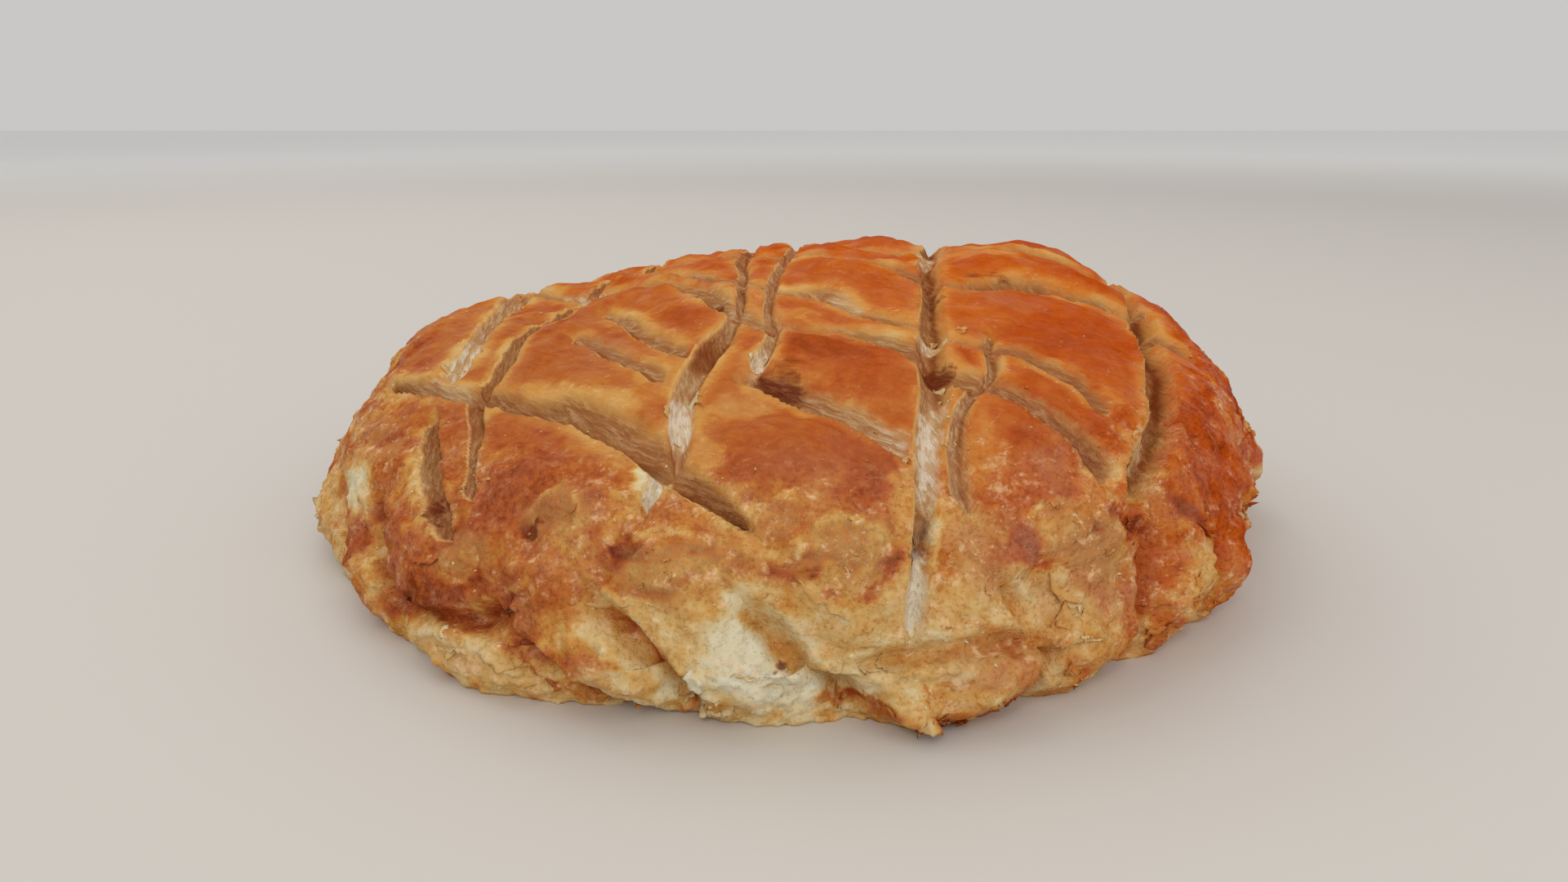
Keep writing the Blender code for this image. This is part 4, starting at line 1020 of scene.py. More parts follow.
    def build(self, box: Box) -> bpy.types.Object:
        """Return the crust's object: the worked grid, closed below by rings down to one point."""
        side_count = 2 * self.rings + 1
        state = self.worked(*self.lid_grid())
        index = np.arange(side_count ** 2).reshape(side_count, side_count)
        border = border_of(index)
        rings = [state.points[border] * (share, share, 0.0) for share in self.floor_rings]
        below = np.concatenate(rings + [np.zeros((1, 3))])
        first, round_rim = len(state.points), len(border)
        loops = [border] + [first + k * round_rim + np.arange(round_rim) for k in range(len(rings))]
        strips = [np.stack((outer, inner, np.roll(inner, -1), np.roll(outer, -1)), axis=-1)
                  for outer, inner in zip(loops[:-1], loops[1:])]
        middle = np.full(round_rim, first + len(below) - 1)
        fan = np.stack((loops[-1], middle, np.roll(loops[-1], -1)), axis=-1)
        points = box.kept(np.concatenate((state.points, below)))
        faces = [face for part in (quads_of(index), *strips, fan) for face in part.tolist()]
        spots = self.underside_spots.at(below)
        values = {name: np.concatenate((state.fields[name], np.full(len(below), under)))
                  for name, under in self.underside}
        values["bake"][first:] += spots
        return new_piece("crust", points, faces, values)


@dataclass(frozen=True)
class LeafBed:
    """A place on the lid where thin leaves of crust stand off, in millimetres.

    x, y, reach, width and turn draw the oval that they are strewn over. length and out are a
    leaf's size along its root and away from it, lift how far its tip stands off, bake how brown
    it is.
    """

    x: float
    y: float
    reach: float
    width: float
    turn: float
    count: int
    length: float
    out: float
    lift: float
    bake: float


LEAF_BEDS = rows_of(LeafBed, (
    # torn rims drawn one by one
    (49, -113, 0, 0, -16, 1, 10, 2.6, 0.8, 0.34), (4.5, -119.5, 0, 0, -38, 1, 11, 1.8, 0.5, 0.38),
    (-33, -117, 0, 0, -10, 1, 9, 1.8, 0.5, 0.32), (-17.6, -134, 0, 0, -80, 1, 7, 2.6, 1.2, 0.02),
    (-71, -99, 0, 0, -20, 1, 7, 1.6, 0.8, 0.66), (84, -90, 0, 0, 10, 1, 9, 1.6, 0.8, 0.5),
    # foot in front, from left to right
    (-90, -108, 9, 3, -40, 3, 4.0, 1.4, 0.4, 0.22), (-74, -115, 11, 3, -36, 3, 5.0, 1.4, 0.4, 0.24),
    (-60, -126, 9, 3, -42, 3, 5.0, 1.4, 0.4, 0.3), (-47, -134, 7, 3, -45, 5, 3.4, 1.4, 0.6, 0.62),
    (-37, -141, 6, 2, -15, 8, 3.0, 1.6, 1.0, 0.36), (-18, -141, 6, 2.4, -10, 9, 3.4, 1.8, 1.0, 0.14),
    (-5, -136, 8, 4, -12, 4, 4.0, 1.6, 0.4, 0.06), (12, -131, 7, 2.4, -5, 6, 3.0, 1.2, 0.6, 0.22),
    (14, -141, 5, 2.4, 0, 5, 2.0, 1.0, 0.6, 0.46), (30, -142, 6, 2.4, 5, 12, 3.0, 1.8, 1.0, 0.6),
    (44, -135, 6, 3, 15, 8, 3.0, 1.4, 0.8, 0.56), (56, -118, 7, 3, -20, 5, 4.0, 1.6, 0.45, 0.2),
    (62, -128, 7, 3, -10, 6, 3.4, 1.6, 0.6, 0.4), (83, -115, 8, 3, 45, 6, 3.4, 1.8, 0.7, 0.5),
    (90, -98, 8, 4, 45, 4, 4.0, 1.6, 0.4, 0.3), (104, -98, 8, 3, 45, 6, 3.4, 1.6, 0.7, 0.44),
    # small blisters and shreds on the belly
    (-24, -112, 10, 4, 0, 4, 2.0, 0.9, 0.4, 0.4), (8, -112, 8, 5, -20, 4, 2.0, 0.9, 0.4, 0.36),
    (48, -104, 9, 5, 0, 4, 2.0, 0.9, 0.4, 0.44), (-42, -103, 8, 4, 0, 2, 1.8, 0.8, 0.4, 0.5),
    (18, -122, 9, 4, 0, 4, 1.8, 0.8, 0.4, 0.34), (28, -116, 5, 5, 0, 2, 1.8, 0.8, 0.3, 0.4),
    (-12, -118, 9, 3, 0, 3, 1.8, 0.8, 0.3, 0.4), (62, -102, 6, 5, 0, 2, 2.0, 0.9, 0.4, 0.44),
    # shreds at the edges of the cuts
    (-73, -30, 18, 3, 80, 7, 2.4, 0.9, 0.5, 0.2), (-22, -74, 8, 3, 85, 6, 2.4, 0.9, 0.5, 0.14),
    (20, -118, 10, 2, 90, 4, 2.0, 0.9, 0.5, 0.06), (23, -84, 12, 3, 84, 6, 2.4, 0.9, 0.5, 0.14),
    (28, -50, 6, 4, 70, 5, 2.4, 1.0, 0.6, 0.2), (-9, -62, 5, 2, 70, 4, 2.0, 0.8, 0.5, 0.14),
    (14, -88, 7, 2, -45, 4, 2.4, 0.9, 0.5, 0.2), (62, -84, 6, 3, 70, 5, 2.0, 0.9, 0.5, 0.2),
))


@dataclass(frozen=True)
class FarBeds:
    """Beds of leaves round the rim's far side, by the rule of the near one.

    Angles are degrees, and reach, width, length, out and lift are millimetres, as in LeafBed.
    """

    count: int = 26
    leaves: int = 7
    first: float = -34.0
    pitch: float = 9.0
    arc: tuple = (124.0, 143.0)
    reach: float = 8.0
    width: float = 3.0
    turn: tuple = (60.0, 110.0)
    length: tuple = (2.6, 4.4)
    out: tuple = (1.2, 2.0)
    lift: tuple = (0.6, 1.1)
    bake: tuple = (0.15, 0.7)
    seed: int = 44

    def beds(self) -> tuple[LeafBed, ...]:
        """Return the beds, drawn by chance from the seed."""
        draw = np.random.default_rng(self.seed)
        beds = []
        for k in range(self.count):
            azimuth = math.radians(self.first + (k + draw.uniform(0.0, 1.0)) * self.pitch)
            arc = draw.uniform(*self.arc)
            turn = math.degrees(azimuth) + draw.uniform(*self.turn)
            leaf = [draw.uniform(*span) for span in (self.length, self.out, self.lift, self.bake)]
            place = (arc * math.cos(azimuth), arc * math.sin(azimuth))
            beds.append(LeafBed(*place, self.reach, self.width, turn, self.leaves, *leaf))
        return tuple(beds)


def leaf_faces(along: int, out: int, leaves: int) -> list:
    """Return the quads of closed leaves: each one's top, its underside and the edge between them.

    Args:
        along: points along a leaf's root.
        out: points from its root to its free edge.
        leaves: how many leaves; all tops' points come first, then all undersides'.
    """
    index = np.arange(along * out).reshape(along, out)
    shift = leaves * along * out
    top, loop = quads_of(index), border_of(index)
    rim = np.stack((np.roll(loop, -1), loop, loop + shift, np.roll(loop, -1) + shift), axis=-1)
    one = np.concatenate((top, top[:, ::-1] + shift, rim))
    return (one[None] + np.arange(leaves)[:, None, None] * along * out).reshape(-1, 4).tolist()


@dataclass(frozen=True)
class Leaves:
    """Thin torn leaves of crust that lift off the skin along one edge, as one piece.

    A leaf that is alone in its bed stands just as the table says. The others of a bed are turned
    by chance, by turn_spread degrees, and get their own size, lift and bake.
    """

    crust: Crust
    along: int = 9
    out: int = 4
    thickness: float = 0.3 * MM
    sunk: float = 0.3 * MM
    foot_gap: float = 0.4 * MM
    turn_spread: float = 26.0
    upward: float = 0.2
    least: tuple = (0.55, 0.4)
    most: tuple = (1.35, 1.3)
    bake_spread: float = 0.07
    jags: tuple = (0.55, 1.25)
    end_reach: float = 0.03
    bend: float = 0.5
    skew: float = 0.3
    bow: float = 0.15
    warp: float = 0.35
    lift_power: float = 1.6
    tip_thinner: float = 0.6
    tip_bake: float = 0.1
    under_bake: float = 0.08
    seed: int = 5

    def strewn(self) -> Array:
        """Return one row per leaf: x, y, the way it grows in radians, length, out, lift and bake."""
        draw = np.random.default_rng(self.seed)
        rows = []
        for bed in LEAF_BEDS + FarBeds().beds():
            alone = bed.count == 1
            turn = math.radians(bed.turn)
            for _ in range(bed.count):
                ring, way = math.sqrt(draw.random()), draw.uniform(0.0, TURN)
                a, b = ring * bed.reach * math.cos(way), ring * bed.width * math.sin(way)
                x = bed.x + a * math.cos(turn) - b * math.sin(turn)
                y = bed.y + a * math.sin(turn) + b * math.cos(turn)
                grow = turn + 0.5 * math.pi
                faces_crown = math.cos(grow) * x + math.sin(grow) * y < 0.0
                upward = not alone and draw.random() < self.upward
                if faces_crown != upward:
                    grow += math.pi
                size, lift, bake = 1.0, 1.0, bed.bake
                if not alone:
                    grow += math.radians(draw.normal(0.0, self.turn_spread))
                    size, lift = draw.uniform(self.least, self.most)
                    bake += draw.normal(0.0, self.bake_spread)
                rows.append((x, y, grow, bed.length * size, bed.out * size, bed.lift * lift, bake))
        return np.array(rows)

    def build(self, box: Box) -> bpy.types.Object:
        """Return the leaves' object.

        A leaf is a strip of the crust's own surface. Its root lies sunk in the skin, and it stands
        off by its lift times the share out to a power. Its reach is the full one in the middle,
        falls to both ends and is ragged. Its underside lies below it by its thickness.
        """
        rows = self.strewn()
        x, y, grow, length, reach, lift, bake = (column[:, None, None] for column in rows.T)
        u = np.linspace(-1.0, 1.0, self.along)[None, :, None]
        v = np.linspace(0.0, 1.0, self.out)[None, None, :]
        draw = np.random.default_rng(self.seed + 1)
        jags = draw.uniform(*self.jags, (len(rows), self.along, 1))
        bend = draw.uniform(-self.bend, self.bend, (len(rows), 1, 1))
        full = reach * np.sqrt(np.maximum(1.0 - u * u, self.end_reach)) * jags
        side = 0.5 * length * (u + bend * self.skew * v)
        ahead = full * v + self.bow * length * bend * u * u
        lid_x = x + side * np.sin(grow) + ahead * np.cos(grow)
        lid_y = y - side * np.cos(grow) + ahead * np.sin(grow)
        azimuth = np.arctan2(lid_y, lid_x).ravel()
        dome = self.crust.form.dome
        arc = np.minimum(np.hypot(lid_x, lid_y).ravel() * MM, dome.arc[-1] - self.foot_gap)
        state = self.crust.worked(azimuth, arc)
        normals = dome.normals(azimuth, arc)
        warped = 1.0 + self.warp * np.sin(3.0 * u + 6.0 * bend)
        stand = (lift * MM * warped * v ** self.lift_power - self.sunk * (1.0 - v)) * np.ones_like(full)
        deep = stand - self.thickness * (1.0 - self.tip_thinner * v)
        sides = [state.points + normals * height.reshape(-1, 1) for height in (stand, deep)]
        points = box.kept(np.concatenate(sides))
        shade = (bake + self.tip_bake * (v - 0.5) + 0.0 * u).ravel()
        fields = {"bake": np.concatenate((shade, shade + self.under_bake)),
                  "warm": np.tile(state.fields["warm"], 2)}
        return new_piece("flaky_leaves", points, leaf_faces(self.along, self.out, len(rows)), fields)


@dataclass(frozen=True)
class TornStrip:
    """A strip of crust torn loose at the foot, which hangs out and down towards the table.

    path is its middle line in millimetres, from the skin down. side is the way across it, and
    ahead the way that it faces.
    """

    path: tuple = ((17.6, -111.2, 10.0), (18.6, -113.4, 8.8), (19.6, -114.8, 6.4), (20.8, -115.4, 4.0),
                   (22.0, -115.8, 1.6))
    side: tuple = (0.93, -0.2, 0.31)
    ahead: tuple = (0.1, -0.92, -0.38)
    half_width: float = 2.6 * MM
    thickness: float = 0.6 * MM
    bulge: float = 0.7 * MM
    crumple: float = 0.35 * MM
    torn: tuple = (0.7, 1.25)
    end_narrower: float = 0.25
    end_from: float = 0.8
    end_torn: tuple = (-7.0 * MM, 3.0 * MM)
    middle_bake: float = 0.16
    edge_bake: float = 0.36
    end_bake: float = 0.4
    end_bake_from: float = 0.7
    under_bake: float = 0.14
    warm: float = 0.1
    across: int = 9
    along: int = 15
    seed: int = 8

    def build(self, box: Box) -> bpy.types.Object:
        """Return the strip's object.

        Its middle runs along its path from the skin to just above the table. Across, it is an arch
        that stands forward by its bulge in the middle, with edges and an end torn by chance.
        """
        draw = np.random.default_rng(self.seed)
        v = np.linspace(0.0, 1.0, self.along)
        knots = np.array(self.path) * MM
        at = np.linspace(0.0, 1.0, len(knots))
        spine = np.stack([np.interp(v, at, column) for column in knots.T], axis=-1)
        u = np.linspace(-1.0, 1.0, self.across)[:, None]
        torn = draw.uniform(*self.torn, (2, self.along))
        wide = np.where(u < 0.0, torn[0], torn[1]) * self.half_width * (1.0 - self.end_narrower * v)
        side, ahead = np.array(self.side), np.array(self.ahead)
        fold = self.bulge * (1.0 - u ** 2) + self.crumple * np.sin(5.0 * u + 7.0 * v)
        end = draw.uniform(*self.end_torn, self.across)[:, None] * np.maximum(v - self.end_from, 0.0)
        down = (spine[-1] - spine[-2]) / np.linalg.norm(spine[-1] - spine[-2])
        grid = spine[None] + (u * wide)[..., None] * side + fold[..., None] * ahead + end[..., None] * down
        top = grid.reshape(-1, 3)
        points = box.kept(np.concatenate((top - self.thickness * ahead, top)))
        pale = self.middle_bake + self.edge_bake * np.abs(u) ** 3
        pale = (pale + self.end_bake * np.maximum(v - self.end_bake_from, 0.0)).ravel()
        fields = {"bake": np.concatenate((pale + self.under_bake, pale)),
                  "warm": np.full(len(points), self.warm)}
        return new_piece("torn_strip", points, leaf_faces(self.across, self.along, 1), fields)


@dataclass(frozen=True)
class Specks:
    """Tiny broken bits of leaf that stick to the crust, most of them low down."""

    crust: Crust
    count: int = 520
    size: tuple = (0.25 * MM, 0.62 * MM)
    uneven: tuple = (0.6, 1.5)
    shares: tuple = (1.0, 0.55, 0.5)
    reach: tuple = (60.0, 146.0)
    reach_power: float = 0.55
    paler: tuple = (0.05, 0.4)
    bake: tuple = (0.1, 0.7)
    corners: tuple = ((1, 0, 0), (0, 1, 0), (-1, 0, 0), (0, -1, 0), (0, 0, 1), (0, 0, -1))
    seed: int = 12

    def build(self, box: Box) -> bpy.types.Object:
        """Return the specks' object: each is six points about a place on the skin, and eight faces."""
        draw = np.random.default_rng(self.seed)
        low, high = self.reach
        arc = (low + (high - low) * draw.random(self.count) ** self.reach_power) * MM
        azimuth = draw.uniform(-math.pi, math.pi, self.count)
        state = self.crust.worked(azimuth, arc)
        corners = len(self.corners)
        turn = draw.uniform(0.0, TURN, (self.count, 1))
        long = draw.uniform(*self.size, (self.count, 1)) * draw.uniform(*self.uneven, (self.count, corners))
        flat = np.array(self.corners, dtype=float) * self.shares
        x = flat[:, 0] * np.cos(turn) - flat[:, 1] * np.sin(turn)
        y = flat[:, 0] * np.sin(turn) + flat[:, 1] * np.cos(turn)
        offsets = np.stack((x, y, flat[:, 2] + np.zeros_like(x)), axis=-1) * long[..., None]
        points = box.kept((state.points[:, None, :] + offsets).reshape(-1, 3))
        one = [(a, (a + 1) % 4, 4) for a in range(4)] + [((a + 1) % 4, a, 5) for a in range(4)]
        faces = (np.array(one)[None] + corners * np.arange(self.count)[:, None, None]).reshape(-1, 3)
        shade = np.clip(state.fields["bake"] - draw.uniform(*self.paler, self.count), *self.bake)
        fields = {"bake": np.repeat(shade, corners), "warm": np.repeat(state.fields["warm"], corners)}
        return new_piece("crust_specks", points, faces.tolist(), fields)


def quads_of(index: Array) -> Array:
    """Return the quads between the points of a grid of indices, one row each."""
    corners = (index[:-1, :-1], index[1:, :-1], index[1:, 1:], index[:-1, 1:])
    return np.stack(corners, axis=-1).reshape(-1, 4)


def border_of(index: Array) -> Array:
    """Return the indices once round the border of a grid."""
    return np.concatenate((index[:-1, 0], index[-1, :-1], index[:0:-1, -1], index[0, :0:-1]))


def new_piece(name: str, points: Array, faces: list, fields: dict[str, Array]) -> bpy.types.Object:
    """Return a smooth-shaded object at the origin.

    Args:
        name: the piece's name.
        points: its points in metres, one row each.
        faces: the points' numbers round each face.
        fields: by name, one number per point as an attribute that the materials read.
    """
    mesh = bpy.data.meshes.new(name)
    mesh.from_pydata(points.tolist(), [], faces)
    mesh.validate()
    mesh.shade_smooth()
    for label, values in fields.items():
        field = mesh.attributes.new(label, "FLOAT", "POINT")
        field.data.foreach_set("value", np.asarray(values, dtype=np.float32))
    piece = bpy.data.objects.new(name, mesh)
    bpy.context.scene.collection.objects.link(piece)
    return piece


EVEN = (1.0, 1.0, 1.0)


@dataclass(frozen=True)
class Noise:
    """A noise texture of so many waves per metre.

    A share below 1 makes it that much longer along that axis, after a turn by so many degrees
    about the upright.
    """

    scale: float
    detail: float = 2.0
    roughness: float = 0.5
    shares: tuple = EVEN
    turn: float = 0.0


class Wiring:
    """Adds nodes to a material or a group and joins them; its methods return output sockets."""

    def __init__(self, tree: bpy.types.NodeTree) -> None:
        """Start wiring in one node tree."""
        self.tree = tree

    def node(self, kind: str, **settings: object) -> bpy.types.Node:
        """Return a new node with its settings."""
        node = self.tree.nodes.new(kind)
        for name, value in settings.items():
            setattr(node, name, value)
        return node

    def feed(self, socket: bpy.types.NodeSocket, value: object) -> None:
        """Link a socket to an input, or set the input to a plain value."""
        if isinstance(value, bpy.types.NodeSocket):
            self.tree.links.new(value, socket)
        else:
            socket.default_value = value

    def fed(self, node: bpy.types.Node, **given: object) -> bpy.types.Node:
        """Return the node after feeding its inputs by name, with _ for a blank in a name."""
        for name, value in given.items():
            self.feed(node.inputs[name.replace("_", " ")], value)
        return node

    def math(self, operation: str, *values: object) -> bpy.types.NodeSocket:
        """Return the result of a Math node."""
        node = self.node("ShaderNodeMath", operation=operation)
        for socket, value in zip(node.inputs, values):
            self.feed(socket, value)
        return node.outputs[0]

    def add(self, *values: object) -> bpy.types.NodeSocket:
        """Return the sum of several values."""
        total = values[0]
        for value in values[1:]:
            total = self.math("ADD", total, value)
        return total

    def times(self, *values: object) -> bpy.types.NodeSocket:
        """Return the product of several values."""
        total = values[0]
        for value in values[1:]:
            total = self.math("MULTIPLY", total, value)
        return total

    def centred(self, value: object, amount: float) -> bpy.types.NodeSocket:
        """Return a 0 to 1 value turned into plus or minus half the amount."""
        return self.math("MULTIPLY_ADD", value, amount, -0.5 * amount)

    def between(self, value: object, low: float, high: float, start: float = 0.0,
                end: float = 1.0) -> bpy.types.NodeSocket:
        """Return a smooth change from start at low to end at high."""
        node = self.node("ShaderNodeMapRange", interpolation_type="SMOOTHSTEP")
        self.fed(node, Value=value, From_Min=low, From_Max=high, To_Min=start, To_Max=end)
        return node.outputs["Result"]

    def mix(self, factor: object, first: object, second: object) -> bpy.types.NodeSocket:
        """Return the first colour turning into the second as the factor goes to 1."""
        node = self.node("ShaderNodeMix", data_type="RGBA", clamp_factor=True)
        for number, value in ((0, factor), (6, first), (7, second)):
            self.feed(node.inputs[number], value)
        return node.outputs[2]

    def ramp(self, value: object, stops: tuple) -> bpy.types.NodeSocket:
        """Return the colour at a value on a ramp of (place, colour) stops."""
        node = self.node("ShaderNodeValToRGB")
        ramp = node.color_ramp
        ramp.elements[0].position, ramp.elements[0].color = stops[0]
        ramp.elements[1].position, ramp.elements[1].color = stops[-1]
        for place, colour in stops[1:-1]:
            ramp.elements.new(place).color = colour
        self.feed(node.inputs[0], value)
        return node.outputs[0]

    def place(self) -> bpy.types.NodeSocket:
        """Return the place in the object's own coordinates, in metres."""
        return self.node("ShaderNodeTexCoord").outputs["Object"]

    def noise(self, place: object, kind: Noise) -> bpy.types.NodeSocket:
        """Return a noise's value at a place."""
        if kind.shares != EVEN:
            node = self.node("ShaderNodeMapping", vector_type="TEXTURE")
            node.inputs["Scale"].default_value = [1.0 / share for share in kind.shares]
            node.inputs["Rotation"].default_value = (0.0, 0.0, math.radians(kind.turn))
            place = self.fed(node, Vector=place).outputs[0]
        node = self.node("ShaderNodeTexNoise")
        self.fed(node, Vector=place, Scale=kind.scale, Detail=kind.detail, Roughness=kind.roughness)
        return node.outputs[0]

    def field(self, name: str) -> bpy.types.NodeSocket:
        """Return the value of one of the mesh's own fields."""
        return self.node("ShaderNodeAttribute", attribute_name=name).outputs["Fac"]

    def bump(self, shader: bpy.types.Node, height: object, distance: float, strength: float) -> None:
        """Feed a shader's normals from a height."""
        node = self.fed(self.node("ShaderNodeBump"), Distance=distance, Strength=strength, Height=height)
        self.feed(shader.inputs["Normal"], node.outputs["Normal"])
        self.feed(shader.inputs["Coat Normal"], node.outputs["Normal"])


class Group:
    """A shader group under construction: its tree, its wiring and its sockets by name."""

    def __init__(self, name: str, inputs: dict[str, str], outputs: dict[str, str]) -> None:
        """Start a group; inputs and outputs give each socket's kind by its name."""
        self.tree = bpy.data.node_groups.new(name, "ShaderNodeTree")
        for way, sockets in (("INPUT", inputs), ("OUTPUT", outputs)):
            for label, kind in sockets.items():
                self.tree.interface.new_socket(label, in_out=way, socket_type=kind)
        self.wire = Wiring(self.tree)
        enter, leave = self.wire.node("NodeGroupInput"), self.wire.node("NodeGroupOutput")
        self.given = {socket.name: socket for socket in enter.outputs}
        self.result = {socket.name: socket for socket in leave.inputs}


NUMBER, VECTOR, PAINT = "NodeSocketFloat", "NodeSocketVector", "NodeSocketColor"


@dataclass(frozen=True)
class BakedColours:
    """Colours of egg-washed pastry from cream to dark, in front and where the oven was hotter."""

    plain: tuple = (
        (0.0, linear(220, 212, 184)), (0.15, linear(217, 196, 150)), (0.3, linear(210, 170, 104)),
        (0.45, linear(199, 142, 72)), (0.58, linear(185, 112, 52)), (0.72, linear(168, 84, 41)),
        (0.86, linear(134, 60, 25)), (1.0, linear(94, 39, 19)))
    hot: tuple = (
        (0.0, linear(216, 194, 146)), (0.15, linear(212, 172, 106)), (0.3, linear(210, 146, 72)),
        (0.45, linear(204, 118, 44)), (0.58, linear(196, 92, 24)), (0.72, linear(182, 72, 12)),
        (0.86, linear(150, 56, 12)), (1.0, linear(102, 36, 12)))

    def group(self) -> bpy.types.NodeTree:
        """Return the group that turns how brown and how hot into a colour."""
        group = Group("baked colour", {"Bake": NUMBER, "Heat": NUMBER}, {"Colour": PAINT})
        wire = group.wire
        cool = wire.ramp(group.given["Bake"], self.plain)
        hot = wire.ramp(group.given["Bake"], self.hot)
        wire.feed(group.result["Colour"], wire.mix(group.given["Heat"], cool, hot))
        return group.tree


@dataclass(frozen=True)
class TornFibres:
    """Torn strands of dough, lying along a cut and a little askew to it, whichever way it runs."""

    lengthways: Noise = Noise(1500.0, 3.0, 0.62, (1.0, 0.07, 0.6), 10.0)
    slanting: Noise = Noise(1500.0, 3.0, 0.62, (0.07, 1.0, 0.6), -46.0)
    contrast: tuple = (0.32, 0.68)

    def group(self) -> bpy.types.NodeTree:
        """Return the group that gives the strands' brightness at a place for a seam's family."""
        group = Group("torn fibres", {"Place": VECTOR, "Family": NUMBER}, {"Strand": NUMBER})
        wire, place = group.wire, group.given["Place"]
        first, second = wire.noise(place, self.lengthways), wire.noise(place, self.slanting)
        node = wire.node("ShaderNodeMix", data_type="FLOAT")
        for number, value in ((0, group.given["Family"]), (2, first), (3, second)):
            wire.feed(node.inputs[number], value)
        wire.feed(group.result["Strand"], wire.between(node.outputs[0], *self.contrast))
        return group.tree


@dataclass(frozen=True)
class Mottle:
    """Uneven browning: soft clouds, grain, short streaks and fine specks, added up about zero."""

    cloud: Noise = Noise(70.0, 3.0, 0.55)
    cloud_change: float = 0.2
    grain: Noise = Noise(320.0, 4.0, 0.6)
    speck: Noise = Noise(1100.0, 3.0, 0.65)
    speck_share: float = 0.7
    streak: Noise = Noise(900.0, 2.0, 0.5, (0.25, 1.0, 1.0), -38.0)
    streak_change: float = 0.14
    grain_change: float = 0.2
    low_change: float = 0.2

    def group(self) -> bpy.types.NodeTree:
        """Return the group that gives the change in browning, a grain and fine specks at a place."""
        group = Group("mottle", {"Place": VECTOR, "Low": NUMBER},
                      {"Change": NUMBER, "Grain": NUMBER, "Speck": NUMBER})
        wire, place = group.wire, group.given["Place"]
        clouds = wire.centred(wire.noise(place, self.cloud), self.cloud_change)
        streaks = wire.centred(wire.noise(place, self.streak), self.streak_change)
        grain, speck = wire.noise(place, self.grain), wire.noise(place, self.speck)
        change = wire.add(wire.times(group.given["Low"], self.low_change), self.grain_change)
        grains = wire.times(wire.centred(grain, 1.0), change)
        specks = wire.times(wire.centred(speck, 1.0), change, self.speck_share)
        wire.feed(group.result["Change"], wire.add(clouds, streaks, grains, specks))
        wire.feed(group.result["Grain"], grain)
        wire.feed(group.result["Speck"], speck)
        return group.tree


@dataclass(frozen=True)
class Groups:
    """The shader groups that the crust and its flakes share."""

    colour: bpy.types.NodeTree
    fibres: bpy.types.NodeTree
    mottle: bpy.types.NodeTree

    def use(self, wire: Wiring, group: bpy.types.NodeTree, **given: object) -> dict:
        """Return the outputs of a group put into a material, with its inputs fed by name."""
        node = wire.fed(wire.node("ShaderNodeGroup", node_tree=group), **given)
        return {socket.name: socket for socket in node.outputs}

    def baked(self, wire: Wiring, bake: object) -> bpy.types.NodeSocket:
        """Return the colour of crust that is so brown, by the warmth there: the oven's heat, with a cooler
        colour at the back as painted sheen.
        """
        return self.use(wire, self.colour, Bake=bake, Heat=wire.field("warm"))["Colour"]


def new_material(name: str) -> tuple[bpy.types.Material, Wiring, bpy.types.Node]:
    """Return a new material, its wiring and its shader."""
    material = bpy.data.materials.new(name)
    material.use_nodes = True
    wire = Wiring(material.node_tree)
    return material, wire, material.node_tree.nodes["Principled BSDF"]


